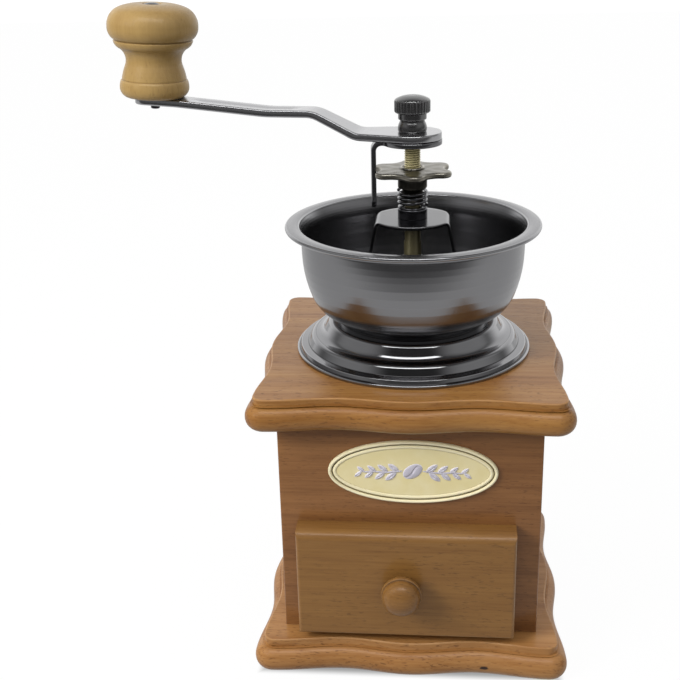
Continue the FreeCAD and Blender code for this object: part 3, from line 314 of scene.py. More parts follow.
NICKEL = (138, 138, 140), (176, 176, 178)
black_nickel = metal("black_nickel", *NICKEL, 0.12)
hazy_nickel = metal("hazy_nickel", *NICKEL, 0.24)
bridge_plate = metal("bridge_plate", (96, 96, 98), (170, 170, 172), 0.20)
arm_plate = metal("bright_nickel_arm", (166, 166, 168), (182, 182, 184), 0.20)
cast_plate = metal("cast_wheel", (128, 124, 114), (196, 192, 180), 0.32, smear=0.08, grain_size=1.3,
                   grain_depth=0.10, dust=0.25)
spring_plate = metal("spring_plate", (118, 118, 121), (140, 140, 143), 0.16)
cap_plate = metal("cap_plate", (112, 112, 112), (160, 160, 160), 0.26, smear=0.08, grain_size=1.6,
                  grain_depth=0.03)
burr_iron = metal("burr_iron", (104, 102, 98), (150, 148, 144), 0.45, smear=0.1, grain_size=0.9,
                  grain_depth=0.06, dust=0.5)
thread_brass = metal("thread_brass", (204, 192, 142), (236, 228, 188), 0.36, dust=0.3, metallic=0.5)
screw_steel = metal("screw_steel", (176, 176, 178), (214, 214, 214), 0.28)
bush_plate = metal("bush_plate", (74, 74, 78), (116, 116, 120), 0.22)
print("materials so far:", len(bpy.data.materials))


# %% Enamel finishes
MOTTLE_SCALE, GRIT_SCALE, GRIT_DEPTH = 160.0, 900.0, 0.08


def enamel(name, ground, raised, groove_shade):
    """Cream enamel: slow mottling, paler on raised beads, and painted shade in the grooves."""
    ground, raised, groove_shade = colour(*ground), colour(*raised), colour(*groove_shade)

    def varying(link):
        place = link.node("TexCoord", out="Object")
        mottle, grit = place.noise(MOTTLE_SCALE, 4.0), place.noise(GRIT_SCALE, 2.0)
        shade = (mottle.between(0.3, 0.75) * 0.35).mixed(ground, raised)
        shade = link.mask("edge").within(1.4).mixed(shade, raised)
        # painted shade: the grooves and the sprig's veins are darkened
        shade = link.mask("crease").within(0.9).mixed(shade, groove_shade)
        return {"Base Color": shade, "Roughness": mottle * 0.2 + 0.3,
                "Normal": grit.bump(0.3, GRIT_DEPTH * MM)}
    return finish(name, varying, Coat_Weight=0.3, Coat_Roughness=0.2)


plaque_enamel = enamel("cream_enamel", (226, 212, 158), (240, 231, 196), (92, 78, 48))
sprig_silver = enamel("silvered_relief", (182, 178, 190), (222, 219, 228), (108, 104, 114))
print("materials:", len(bpy.data.materials))

# %% [markdown]
# ## Skins over rings
#
# Every new piece is one closed skin over a grid of points: rings of points, one above the other.
# The same function joins the grid into faces, closes its ends and turns the faces outwards. It also
# measures how sharply the skin bends from ring to ring, which gives the masks of worn edges and of
# creases; the finishes paint shade into the creases, and in the wood the pale worn edges also paint a
# highlight.

# %% A skin over rings
TINY = 1e-12


def unit(vectors):
    """The vectors over their lengths; one with no length stays 0."""
    return vectors / np.maximum(np.linalg.norm(vectors, axis=-1, keepdims=True), TINY)


def skin(rings, wrap=False):
    """Points, faces and bend of a closed skin over rings of points.

    Quads join each ring to the next. With wrap the last ring joins the first; otherwise a fan to the
    ring's middle closes each end. The sum of the corner products gives the signed volume, and the
    faces are turned round if it is negative. The bend is the change of the unit step from ring to
    ring, along the outward normal, over the length of the steps: positive where the skin is hollow.
    """
    rings = np.asarray(rings, float)
    rows, count = rings.shape[:2]
    index = np.arange(rows * count).reshape(rows, count)
    low, high = (index, np.roll(index, -1, 0)) if wrap else (index[:-1], index[1:])
    quads = np.stack([low, np.roll(low, -1, 1), np.roll(high, -1, 1), high], -1).reshape(-1, 4)
    points, fans = rings.reshape(-1, 3), []
    if not wrap:
        for ring, turned_round in ((index[0], True), (index[-1], False)):
            fan = np.stack([ring, np.roll(ring, -1), np.full(count, len(points))], -1)
            points = np.vstack([points, points[ring].mean(0)])
            fans.append(fan[:, ::-1] if turned_round else fan)
    triangles = np.vstack([quads[:, [0, 1, 2]], quads[:, [0, 2, 3]], *fans])
    a, b, c = (points[triangles[:, corner]] for corner in range(3))
    facing = np.sign((a * np.cross(b, c)).sum())
    faces = [face[:, ::int(facing)] for face in (quads, *fans)]

    before, after = np.roll(rings, 1, 0), np.roll(rings, -1, 0)
    if not wrap:
        before[0], after[-1] = 2 * rings[0] - rings[1], 2 * rings[-1] - rings[-2]
    across = np.roll(rings, -1, 1) - np.roll(rings, 1, 1)
    outward = unit(np.cross(across, after - before)) * facing
    turn = unit(after - rings) - unit(rings - before)
    length = np.linalg.norm(after - rings, axis=-1) + np.linalg.norm(rings - before, axis=-1)
    bend = 2 * (turn * outward).sum(-1) / length
    return points, faces, np.concatenate([bend.ravel(), np.zeros(len(points) - rows * count)])


square = np.array([(0, 0, 0), (1, 0, 0), (1, 1, 0), (0, 1, 0)])
print("a skin over two squares has", sum(map(len, skin([square, square + (0, 0, 1)])[1])), "faces")

# %% From skins to a finished piece
MASK_GAIN, MASK_FROM = 0.55, 0.12


def piece(name, skins, body, slot, material, *nodes, sharp=38.0):
    """One finished piece from its skins: it rides on a body and stands for the named nodes."""
    skins = skins if isinstance(skins, list) else [skins]
    faces, start = [], 0
    for points, groups, _ in skins:
        for group in groups:
            faces += (group + start).tolist()
        start += len(points)
    mesh = bpy.data.meshes.new(name)
    mesh.from_pydata((np.vstack([made[0] for made in skins]) * MM).tolist(), [], faces)
    bend = np.concatenate([made[2] for made in skins])
    # edge: the outward bend, for worn edges; crease: the hollow bend, where the finishes paint shade
    for mask, values in (("edge", -bend), ("crease", bend)):
        attribute = mesh.attributes.new(mask, "FLOAT", "POINT")
        attribute.data.foreach_set("value", np.clip(values * MASK_GAIN - MASK_FROM, 0, 1).astype(np.float32))
    mesh.shade_smooth()
    mesh.set_sharp_from_angle(angle=math.radians(sharp))
    mesh.materials.append(material)
    made = in_scene(name, mesh)
    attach(made, body)
    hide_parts(*nodes)
    print("%-20s %6d faces" % (name, len(faces)))


print("the masks start at a bend of %.2f per mm" % (MASK_FROM / MASK_GAIN))

# %% [markdown]
# ## Outlines made of lines and arcs
#
# Turned and pressed parts are drawn as a maker draws them: straight lines, arcs through a point,
# and rounded corners. A third number in a corner is its radius. Each straight line also gets two
# points close to its ends, so that smooth shading stays flat between them.

# %% Outlines
ARC_STEP, CORNER_STEP, SUPPORT = math.radians(4.5), math.radians(15.0), 0.18


def arc(first, through, last, step=ARC_STEP):
    """Points after first on the circle through three points, up to and with last."""
    (ax, ay), (bx, by), (cx, cy) = first, through, last
    twice = 2 * (ax * (by - cy) + bx * (cy - ay) + cx * (ay - by))
    a2, b2, c2 = ax * ax + ay * ay, bx * bx + by * by, cx * cx + cy * cy
    middle = np.array([(a2 * (by - cy) + b2 * (cy - ay) + c2 * (ay - by)) / twice,
                       (a2 * (cx - bx) + b2 * (ax - cx) + c2 * (bx - ax)) / twice])
    radius = math.hypot(ax - middle[0], ay - middle[1])
    start, via, end = (math.atan2(y - middle[1], x - middle[0]) for x, y in (first, through, last))
    sweep, part = (end - start) % (2 * math.pi), (via - start) % (2 * math.pi)
    if part > sweep:
        sweep -= 2 * math.pi
    count = max(3, math.ceil(abs(sweep) / step))
    angles = start + sweep * np.arange(1, count + 1) / count
    return middle + radius * np.stack([np.cos(angles), np.sin(angles)], 1)


def rounded(points, radii, closed=False):
    """The points with each corner of a radius above 0 replaced by a tangent arc."""
    made, count = [], len(points)
    for at, (corner, radius) in enumerate(zip(points, radii)):
        if radius <= 0 or (not closed and at in (0, count - 1)):
            made.append(corner)
            continue
        back, ahead = unit(points[at - 1] - corner), unit(points[(at + 1) % count] - corner)
        half = math.acos(np.clip(back @ ahead, -1, 1)) / 2
        setback = radius / math.tan(half)
        start, end = corner + back * setback, corner + ahead * setback
        through = corner + unit(back + ahead) * (radius / math.sin(half) - radius)
        made += [start, *arc(start, through, end, CORNER_STEP)]
    return np.array(made)


def supported(points, closed=False):
    """The points with two more near the ends of each line that is long beside the support distance."""
    after = np.roll(points, -1, 0) if closed else points[1:]
    made = []
    for first, last in zip(points if closed else points[:-1], after):
        made.append(first)
        length = np.linalg.norm(last - first)
        if length > 5 * SUPPORT:
            step = (last - first) / length * SUPPORT
            made += [first + step, last - step]
    return np.array(made if closed else made + [points[-1]])


def outline(start, *steps, closed=False):
    """An outline of radii and heights. A step is a line's end, or a point on an arc and its end."""
    points, radii = [np.array(start[:2], float)], [start[2] if len(start) > 2 else 0.0]
    for step in steps:
        if isinstance(step[0], tuple):
            bow = arc(points[-1], *step)
            points += list(bow)
            radii += [0.0] * len(bow)
        else:
            points.append(np.array(step[:2], float))
            radii.append(step[2] if len(step) > 2 else 0.0)
    return supported(rounded(points, radii, closed), closed)


print("a quarter turn in", len(arc((1, 0), (0.7071, 0.7071), (0, 1))), "steps")


# %% Turned skins and moved ones
def full_turn(count):
    """Angles all the way round."""
    return np.linspace(0, 2 * math.pi, count, endpoint=False)


def circle(radius, angle, height):
    """Points round the Z axis; radius and height are numbers, or arrays that fit the angles."""
    return np.stack(np.broadcast_arrays(radius * np.cos(angle), radius * np.sin(angle), height), -1)


def off_axis(profile):
    """Radii and heights of an outline, without its points on the axis, each as a column."""
    profile = profile[profile[:, 0] > 1e-6]
    return profile[:, :1], profile[:, 1:]


def turned(profile, around, wrap=False):
    """A turned skin: the outline's radii carried round the Z axis, its heights kept."""
    radius, height = off_axis(profile)
    return skin(circle(radius, full_turn(around), height), wrap)


def about_z(angle):
    """The matrix of a turn about Z."""
    cosine, sine = math.cos(angle), math.sin(angle)
    return np.array([[cosine, -sine, 0], [sine, cosine, 0], [0, 0, 1]])


def moved(made, matrix=np.eye(3), shift=(0, 0, 0)):
    """A skin turned by a 3 by 3 matrix, then shifted."""
    points, faces, bend = made
    return points @ matrix.T + shift, faces, bend


print("a ring of radius 1 in 4 points:", circle(1, full_turn(4), 0).round().tolist())

# %% [markdown]
# ## The moulded boards
#
# The base and the top board are squares whose four sides are drawn in twice, either side of the
# middle, with a full round nose below and a flat step above. Seen from above a side is a cosine;
# its rings are the same outline moved inwards along its own normal, which is what a router with a
# guide bearing does to the real board.

# %% A wavy outline and a round nose
WAVE_DEPTH, WAVE_AT = 3.0, 29.0
BOARD_CORNER, STEP_CORNER = 8.0, 5.0


def wavy_outline(half, corner, count=132, turns=16):
    """A square drawn in by a cosine of the distance from each side's middle, with round corners."""
    reach = half - corner
    x = np.linspace(-reach, reach, count, endpoint=False)
    far = np.abs(x)
    near_wave = 0.5 - 0.5 * np.cos(math.pi * far / WAVE_AT)
    far_wave = 0.5 + 0.5 * np.cos(math.pi * (far - WAVE_AT) / (reach - WAVE_AT))
    y = half - WAVE_DEPTH * np.where(far < WAVE_AT, near_wave, far_wave)
    turn = np.radians(np.linspace(90, 0, turns, endpoint=False))
    side = np.concatenate([np.stack([x, y], 1), reach + circle(corner, turn, 0)[:, :2]])
    return np.concatenate([side @ about_z(-math.pi / 2 * quarter)[:2, :2].T for quarter in range(4)])


def level(line, height):
    """The flat line's points at one height."""
    return np.column_stack([line, np.full(len(line), height)])


def inset(line, distance, height):
    """The closed line moved inwards along its normal, as a ring at this height."""
    along = np.roll(line, -1, 0) - np.roll(line, 1, 0)
    normal = unit(np.stack([-along[:, 1], along[:, 0]], 1))
    area = (line[:, 0] * np.roll(line[:, 1], -1) - np.roll(line[:, 0], -1) * line[:, 1]).sum()
    return level(line + normal * distance * np.sign(area), height)


def bead_rows(radius, low, high, count=11):
    """Insets and heights of a round nose between two heights, with a short flat between its arcs."""
    turn = np.radians(np.linspace(0, 90, count))
    fast, slow = radius * (1 - np.sin(turn)), radius * (1 - np.cos(turn))
    return np.concatenate([np.stack([fast, low + slow], 1), np.stack([slow, high - fast], 1)])


print("the top board's outline has", len(wavy_outline(span("top_board")[1][0], BOARD_CORNER)), "points")

# %% The moulded boards
NOSE_FLAT, BOARD_ARRIS, ARRIS_ROWS, BOARD_HOLE = 0.6, 0.6, 6, 21.7


def moulded_board(node, step, step_inset, hole=0.0):
    """Rings from the underside, round the nose, over the quirk at the step's foot, to the top."""
    low, high = span(node)
    half, z0, z1 = high[0], low[2], high[2]
    nose = z1 - step
    radius = (nose - z0 - NOSE_FLAT) / 2
    outer, inner = wavy_outline(half, BOARD_CORNER), wavy_outline(half - step_inset, STEP_CORNER)
    rings = [inset(outer, radius + 0.4, z0)]
    rings += [inset(outer, d, z) for d, z in bead_rows(radius, z0, nose)]
    quirk = [(-1.0, nose - 0.02), (-0.62, nose - 0.10), (-0.34, nose - 0.34), (-0.05, nose - 0.30),
             (0.0, nose + 0.05), (0.0, nose + 0.3), (0.0, z1 - BOARD_ARRIS - 0.25)]
    arris = bead_rows(BOARD_ARRIS, z0, z1, ARRIS_ROWS)[ARRIS_ROWS:]
    rings += [inset(inner, d, z) for d, z in [*quirk, *arris, (BOARD_ARRIS + 0.35, z1)]]
    if hole:
        rings += [circle(hole, np.arctan2(outer[:, 1], outer[:, 0]), z) for z in (z1, z0)]
    return skin(rings, wrap=hole > 0)


piece("top_board_moulded", moulded_board("top_board", 3.0, 3.4, BOARD_HOLE), "case", "board_wood",
      board_wood, "top_board")
piece("base_board_moulded", moulded_board("base_board", 3.8, 4.2), "case", "board_wood", base_wood,
      "base_board")

# %% [markdown]
# ## The case and the drawer's box
#
# Planed boards are never quite sharp. A rounded block is a sphere pulled apart: each point of the
# sphere keeps its own corner's sign, so the eight corners move out to the board's corners and flat
# faces open between them. The front wall has the drawer's opening, so it is a picture frame
# instead: a closed cross-section carried round a rectangle.

# %% Planed boards
def rounded_block(low, high, radius, turns=5):
    """A box with round edges: corner sign times the inner half size, plus radius times the normal."""
    quarter = np.linspace(0, 90, turns)
    around = np.radians(np.concatenate([quarter + 90 * k for k in range(4)]))
    corner_x = np.repeat([1, -1, -1, 1], turns)
    corner_y = np.repeat([1, 1, -1, -1], turns)
    inner = (high - low) / 2 - radius
    rings = []
    for lift, sign in zip(np.radians([*quarter - 90, *quarter]), np.repeat([-1, 1], turns)):
        ring = circle(radius * math.cos(lift), around, sign * inner[2] + radius * math.sin(lift))
        rings.append(ring + np.stack([corner_x * inner[0], corner_y * inner[1], 0 * around], 1))
    return moved(skin(rings), shift=(low + high) / 2)


def framed_board(low, high, hole_low, hole_high, edge=0.7):
    """A wall with an opening: a rounded cross-section carried round from the outer to the inner rim."""
    rows = bead_rows(edge, low[1], high[1], 5)

    def rim(x0, z0, x1, z1, outward, rows):
        return [[(x0 + d, y, z0 + d), (x1 - d, y, z0 + d), (x1 - d, y, z1 - d), (x0 + d, y, z1 - d)]
                for d, y in rows * (outward, 1)]

    return skin(rim(low[0], low[2], high[0], high[2], 1, rows)
                + rim(hole_low[0], hole_low[1], hole_high[0], hole_high[1], -1, rows[::-1]), wrap=True)


OPENING_HALF, OPENING_LOW, OPENING_HIGH = 41.0, 22.0, 65.0
drawer_low, drawer_high = span("drawer_front")
drawer_middle = (drawer_low[0] + drawer_high[0]) / 2
piece("front_wall", framed_board(*span("front_panel"), (drawer_middle - OPENING_HALF, OPENING_LOW),
                                 (drawer_middle + OPENING_HALF, OPENING_HIGH)),
      "case", "case_wood", case_wood, "front_panel", sharp=50)
piece("back_wall", rounded_block(*span("back_panel"), 0.7), "case", "case_wood", case_wood, "back_panel")
PLANED = (("case", "case_wood", side_wood, ("left_panel", "right_panel")),
          ("case", "inner_wood", bare_wood, ("left_runner", "right_runner")),
          ("drawer", "inner_wood", bare_wood,
           ("drawer_left_side", "drawer_right_side", "drawer_back", "drawer_bottom")))
for body, slot, material, nodes in PLANED:
    for node in nodes:
        piece(node + "_planed", rounded_block(*span(node), 0.4), body, slot, material, node)

# %% [markdown]
# ## The drawer front and its knob
#
# The drawer front has a wide round top edge and narrow ones at its sides and foot, which meet in
# mitres. Each edge is a small arc in depth, and the deeper of two arcs wins, so the mitres draw
# themselves. The front is that depth over a grid, and the same grid laid flat closes its back.

# %% The drawer front
TOP_ROUND, SIDE_ROUND = 3.4, 1.5


def eased(length, first, last, middle):
    """Places along a length, closer together within the rounded stretches at its two ends."""
    near = first * (1 - np.cos(np.radians(np.linspace(0, 90, 10))))
    far = length - last * (1 - np.cos(np.radians(np.linspace(90, 0, 10))))
    between = np.linspace(first, length - last, middle + 2)[1:-1]
    return np.unique([*near, first + SUPPORT, *between, length - last - SUPPORT, *far])


def edge_depth(distance, radius):
    """How far an arc of this radius has dropped back at a distance from the edge."""
    reach = np.clip(radius - distance, 0, radius)
    return radius - np.sqrt(radius ** 2 - reach ** 2)


def drawer_board(low, high):
    """The deeper of the four edges' arcs over a grid, joined along its rim to a flat back."""
    size = high - low
    x, z = eased(size[0], SIDE_ROUND, SIDE_ROUND, 30), eased(size[2], SIDE_ROUND, TOP_ROUND, 16)
    wide, high_up = np.meshgrid(x, z)
    depth = np.maximum.reduce([edge_depth(wide, SIDE_ROUND), edge_depth(size[0] - wide, SIDE_ROUND),
                               edge_depth(high_up, SIDE_ROUND), edge_depth(size[2] - high_up, TOP_ROUND)])
    front = np.stack([wide, depth, high_up], -1)
    back = np.stack([wide, np.full_like(depth, size[1]), high_up], -1)
    index = np.arange(depth.size).reshape(depth.shape)
    quads = np.stack([index[:-1, :-1], index[:-1, 1:], index[1:, 1:], index[1:, :-1]], -1).reshape(-1, 4)
    rim = np.concatenate([index[0, :-1], index[:-1, -1], index[-1, :0:-1], index[:0:-1, 0]])
    side = np.stack([rim, rim + index.size, np.roll(rim, -1) + index.size, np.roll(rim, -1)], -1)
    points = np.concatenate([front.reshape(-1, 3), back.reshape(-1, 3)]) + low
    slope = np.hypot(np.gradient(depth, z, axis=0), np.gradient(depth, x, axis=1))
    # The round edges give the edge mask: in the drawer's finish they turn pale as worn varnish, which also
    # paints the highlight lines along them; the top edge gets less.
    worn = np.clip(slope, 0, 1.2) * np.where(size[2] - high_up < TOP_ROUND, 0.9, 1.6)
    bend = np.concatenate([-worn.ravel(), np.zeros(index.size)])
    return points, [quads, quads[:, ::-1] + index.size, side], bend


piece("drawer_face", drawer_board(drawer_low, drawer_high), "drawer", "drawer_wood", drawer_wood,
      "drawer_front", sharp=55)

# %% The drawer's knob
FACING_FRONT = np.array([[1, 0, 0], [0, 0, -1], [0, 1, 0]])
knob_low, knob_high = span("drawer_knob")
wide, long = (knob_high[0] - knob_low[0]) / 2, knob_high[1] - knob_low[1]
knob_line = outline((0, 0), (5.4, 0, 0.3), ((4.8, 0.9), (5.1, 1.6)), ((7.2, 2.8), (wide - 0.2, 5.0)),
                    ((wide, 5.8), (wide - 0.15, 6.7)), (wide - 0.75, 7.0), (wide - 0.5, 7.5),
                    ((7.2, 10.8), (4.2, 13.1)), ((2.1, long - 0.08), (0, long)))
knob_seat = (knob_low[0] + knob_high[0]) / 2, knob_high[1], (knob_low[2] + knob_high[2]) / 2
piece("turned_knob", moved(turned(knob_line, 96), FACING_FRONT, knob_seat), "drawer", "drawer_wood",
      drawer_wood, "drawer_knob")

# %% [markdown]
# ## The oval plaque
#
# A stamped oval plate with two raised beads round its edge. Its rings are an ellipse moved inwards,
# and the beads are half waves of height over the distance from the rim. The middle carries a plain
# raised sprig of leaves about a coffee bean: each leaf is a pointed oval, domed, with a vein.

# %% The oval plaque
PLATE, BEAD_HIGH, BEADS_WIDE, FIELD_SHARE = 1.0, 0.7, 3.75, 0.62
plaque_low, plaque_high = span("plaque")
plaque_middle, plaque_half = (plaque_low + plaque_high) / 2, (plaque_high - plaque_low) / 2


def half_wave(distance, start, length):
    """A half wave of height 1 over this stretch, and 0 outside it."""
    return np.sin(np.clip((distance - start) / length, 0, 1) * math.pi)


def plaque_height(distance):
    """Height over the back at a distance from the rim: a bead, a groove, a lower bead, the field."""
    first, second = half_wave(distance, 0.0, 1.5) ** 0.7, 0.7 * half_wave(distance, 2.0, 1.6) ** 0.8
    return PLATE + BEAD_HIGH * first - 0.3 * half_wave(distance, 1.4, 0.7) + BEAD_HIGH * second


oval = circle(1, full_turn(240), 0)[:, :2] * plaque_half[[0, 2]]
rows = [(1.5, 0.0), (0.3, 0.0), (0.0, 0.15), (0.0, PLATE - 0.1)]
rows += [(d, plaque_height(d)) for d in np.linspace(0.05, BEADS_WIDE, 54)]
plate = skin([inset(oval, d, h) for d, h in rows] + [level(oval * FIELD_SHARE, PLATE)])
piece("oval_plate", moved(plate, FACING_FRONT, (plaque_middle[0], plaque_high[1], plaque_middle[2])),
      "case", "plaque_cream", plaque_enamel, "plaque")

# %% The sprig on the plaque
SPRIG_FIRST, SPRIG_STEP, LEAF_PAIRS, LEAF_TILT = 8.0, 4.6, 4, 38
LEAF_LONG, LEAF_SHRINKS, LEAF_SLIM, STEM, SUNK = 3.1, 0.35, 0.42, 0.42, -0.1
relief_low, relief_high = span("plaque_ornament")
RELIEF = relief_high[1] - relief_low[1]


def leaf(x, z, long, wide, tilt, bean=False):
    """A domed pointed oval with a vein: rings shrink to the middle, and height falls off to the rim."""
    turn = full_turn(44)
    point, vein_depth = (1.0, 0.75) if bean else (1.7, 0.45)
    rim = np.stack([long * np.cos(turn), wide * np.sign(np.sin(turn)) * np.abs(np.sin(turn)) ** point], 1)
    rings = [level(rim, SUNK)]
    for share in (1.0, *np.cos(np.radians(np.linspace(12, 88, 12)))):
        flat = rim * share
        sway = 0.28 * wide * np.sin(flat[:, 0] / long * 2.6) if bean else 0.0
        vein = np.exp(-((flat[:, 1] - sway) / (0.13 * wide)) ** 2) * vein_depth
        dome = (1 - share ** 3) ** 0.6
        rings.append(np.column_stack([flat, RELIEF * dome * (1 - vein * min(1.0, 1.6 * dome))]))
    return moved(skin(rings), FACING_FRONT @ about_z(math.radians(tilt)), (x, 0, z))


def wire(line, side, over, radius, count):
    """A small circle, spanned by the directions side and over, carried along a line."""
    turn = full_turn(count)[:, None]
    return skin(line[:, None] + radius * (side[:, None] * np.cos(turn) + over[:, None] * np.sin(turn)))


def tendril(points):
    """A thin half-sunk stem: a wire along a smooth line through the points, thinner at its ends."""
    points = np.array(points, float)
    fine = np.linspace(0, len(points) - 1, 60)
    line = np.stack([np.interp(fine, np.arange(len(points)), column) for column in points.T], 1)
    for _ in range(12):
        line[1:-1] = (line[:-2] + 2 * line[1:-1] + line[2:]) / 4
    along = unit(np.gradient(line, axis=0))
    side = np.stack([-along[:, 1], 0 * along[:, 0], along[:, 0]], 1)
    taper = STEM * np.sqrt(np.clip(1 - np.linspace(-1, 1, 60) ** 6, 0.02, 1))
    return wire(np.insert(line, 1, SUNK, axis=1), side, np.broadcast_to([0, -1, 0], side.shape),
                taper[:, None, None], 10)


sprig = [leaf(0, 0.4, 4.6, 3.0, 35, bean=True)]
for side in (-1, 1):
    stem = [(side * 4.2, 0.6)]
    for index in range(LEAF_PAIRS):
        out, size = SPRIG_FIRST + SPRIG_STEP * index, LEAF_LONG - LEAF_SHRINKS * index
        for x, z, tilt in ((out, 1.9 - 0.3 * index, LEAF_TILT), (out + 1.2, -2.1 + 0.3 * index, -LEAF_TILT)):
            sprig.append(leaf(side * x, z, size, size * LEAF_SLIM, side * tilt))
        stem.append((side * (out - 0.6), 0.25 * (-1) ** index))
    sprig.append(tendril(stem))
field = plaque_middle[0], plaque_high[1] - PLATE, plaque_middle[2]
piece("leaf_sprig", [moved(part, shift=field) for part in sprig], "case", "plaque_silver", sprig_silver,
      "plaque_ornament")

# %% [markdown]
# ## The bowl and its flange
#
# Both are spun from thin sheet: the outline has an outside and an inside a millimetre apart, closed
# at the rolled rim, and is carried round the shaft. Every crease of the real flange shows as a
# bright or dark line in its reflection, so the outline has each of its small radii.

# %% The hopper bowl
RIM, BEAD, BEAD_Z, SHEET, THROAT = 55.6, 0.9, 188.0, 1.0, 19.5
BOWL_FLAT, BOWL_BEND, AROUND = 30.6, 15.3, 224
floor_z = span("hopper_bowl")[0][2]
bead_x = RIM - BEAD


def on_bend(radius, degrees):
    """A point of the curve that joins the bowl's floor to its wall."""
    swing = math.radians(degrees)
    return BOWL_FLAT + radius * math.sin(swing), floor_z + BOWL_BEND - radius * math.cos(swing)


bowl_line = outline(
    (THROAT, floor_z), (BOWL_FLAT, floor_z), (on_bend(BOWL_BEND, 35), on_bend(BOWL_BEND, 70)),
    ((47.57, 166.8), (48.57, 176.1)), ((48.66, 180.0), (48.55, 183.9)), ((48.9, 185.7), (50.6, 186.8)),
    (bead_x - 0.2, BEAD_Z - 0.88), ((RIM, BEAD_Z), (bead_x, BEAD_Z + BEAD)), ((52.6, 189.15), (50.0, 188.8)),
    ((49.55, 188.65), (49.3, 188.2)), ((48.1, 184.9), (47.55, 181.0)), ((47.62, 178.6), (47.57, 176.1)),
    ((46.57, 167.0), on_bend(BOWL_BEND - SHEET, 70)),
    (on_bend(BOWL_BEND - SHEET, 35), (BOWL_FLAT, floor_z + SHEET)), (THROAT, floor_z + SHEET), closed=True)
piece("spun_bowl", turned(bowl_line, AROUND, wrap=True), "case", "black_nickel", hazy_nickel,
      "hopper_bowl", sharp=60)

# %% The stepped flange
z = span("hopper_flange")[0][2]
flange_line = outline(
    (52.2, z, 0.3), (52.2, z + 0.9), ((51.9, z + 1.5), (51.2, z + 1.5)), ((50.9, z + 1.6), (50.7, z + 1.9)),
    (50.2, z + 3.3, 0.35), (47.0, z + 3.6, 0.5), (45.7, z + 6.2), ((45.0, z + 7.1), (43.6, z + 7.5)),
    (40.3, z + 8.1, 4.0), (37.9, z + 12.3), ((37.1, z + 13.3), (35.4, z + 13.8)), (32.6, z + 14.0, 0.3),
    (33.3, floor_z + 0.3), (32.3, floor_z + 0.3), (31.7, z + 12.8), (34.4, z + 12.8),
    ((36.0, z + 11.0), (38.7, z + 7.5)), ((42.0, z + 7.0), (44.5, z + 5.4)),
    ((45.3, z + 4.2), (46.6, z + 2.6)), (48.4, z + 2.4), ((50.2, z + 1.3), (51.2, z)), closed=True)
piece("stepped_flange", turned(flange_line, AROUND, wrap=True), "case", "black_nickel", black_nickel,
      "hopper_flange", sharp=60)

# %% [markdown]
# ## Bars bent from sheet
#
# The bridge, the locking clip and the crank arm are flat bars, cut to a plan and bent. One function
# makes all three: a rounded cross-section is carried along the bent middle line, as wide as the
# plan says at each place. It also marks the bar's long arrises as worn, because its rings run
# across them, so that the bend from ring to ring misses them.

# %% Bent bars
SPACING, EASED = 0.5, 3.0
EDGE_ROWS, FLAT_ROWS = 6, 13
SECTION = 2 * (EDGE_ROWS + FLAT_ROWS + EDGE_ROWS)
ARRIS_WORN, ARRIS_FADE, BEND_KEPT = 1.6, 2.6, 0.2


def bent_line(points, radii):
    """Points of a line in the XZ plane with rounded bends, even, and closer together at its ends."""
    line = rounded(np.array(points, float), [0, *radii, 0])
    along = np.concatenate([[0], np.cumsum(np.linalg.norm(np.diff(line, axis=0), axis=1))])
    ease = EASED * (0.5 - 0.5 * np.cos(np.linspace(0, math.pi, 15)))
    even = np.linspace(EASED, along[-1] - EASED, int(along[-1] / SPACING))
    at = np.concatenate([ease[:-1], even, along[-1] - EASED + ease[1:]])
    return np.stack([np.interp(at, along, column) for column in line.T], 1)


def half_chord(radius, x):
    """Half the width of a circle at a distance from its middle."""
    return np.sqrt(np.clip(radius ** 2 - x ** 2, 0, None))


def flat_bar(points, radii, thick, half_width, edge=0.5, flute=None):
    """A bar along a bent line: half_width(x, z) gives its plan, flute(x, across) sinks its top."""
    line = bent_line(points, radii)
    heading = unit(np.gradient(line, axis=0))
    wide = np.maximum(half_width(line[:, 0], line[:, 1]), 0.12)
    turn = np.radians(np.linspace(0, 90, EDGE_ROWS))
    inner = np.linspace(1, -1, FLAT_ROWS + 2)[1:-1]
    rings = []
    for place, ahead, half in zip(line, heading, wide):
        round_edge = min(edge, half * 0.95)
        flat, rise = half - round_edge, thick / 2 - round_edge
        side = np.concatenate([flat + round_edge * np.cos(turn), flat * inner,
                               -flat - round_edge * np.cos(turn[::-1])])
        high = np.concatenate([rise + round_edge * np.sin(turn), np.full(FLAT_ROWS, thick / 2),
                               rise + round_edge * np.sin(turn[::-1])])
        top = high - flute(place[0], side) if flute else high
        lift = np.concatenate([top, -high[::-1]])
        rings.append(np.stack([place[0] - ahead[1] * lift, np.concatenate([side, side[::-1]]),
                               place[1] + ahead[0] * lift], 1))
    points, faces, bend = skin(rings)
    corners = 2.5, SECTION / 2 - 3.5, SECTION / 2 + 2.5, SECTION - 3.5
    away = np.min([np.abs(np.arange(SECTION) - corner) for corner in corners], axis=0)
    worn = np.tile(np.clip(ARRIS_WORN - away / ARRIS_FADE, 0, ARRIS_WORN) * 0.9, len(rings))
    bend[:len(worn)] = np.minimum(bend[:len(worn)] * BEND_KEPT, -worn)
    return points, faces, bend


print("a bent line of", len(bent_line([(0, 0), (20, 0), (20, 20)], [3.0])), "points")

# %% The bridge
BRIDGE_THICK, BRIDGE_SHOULDER, LEG_HALF, LEG_LEAN, FOOT_ROUND = 1.5, 15.4, 8.5, 11.0, 3.0
bridge_low, bridge_high = span("bridge")
bridge_top, foot_level = bridge_high[2] - BRIDGE_THICK / 2, bridge_low[2] + BRIDGE_THICK / 2
knee = BRIDGE_SHOULDER + (bridge_top - foot_level) * math.tan(math.radians(LEG_LEAN))
foot_end = bridge_high[0]


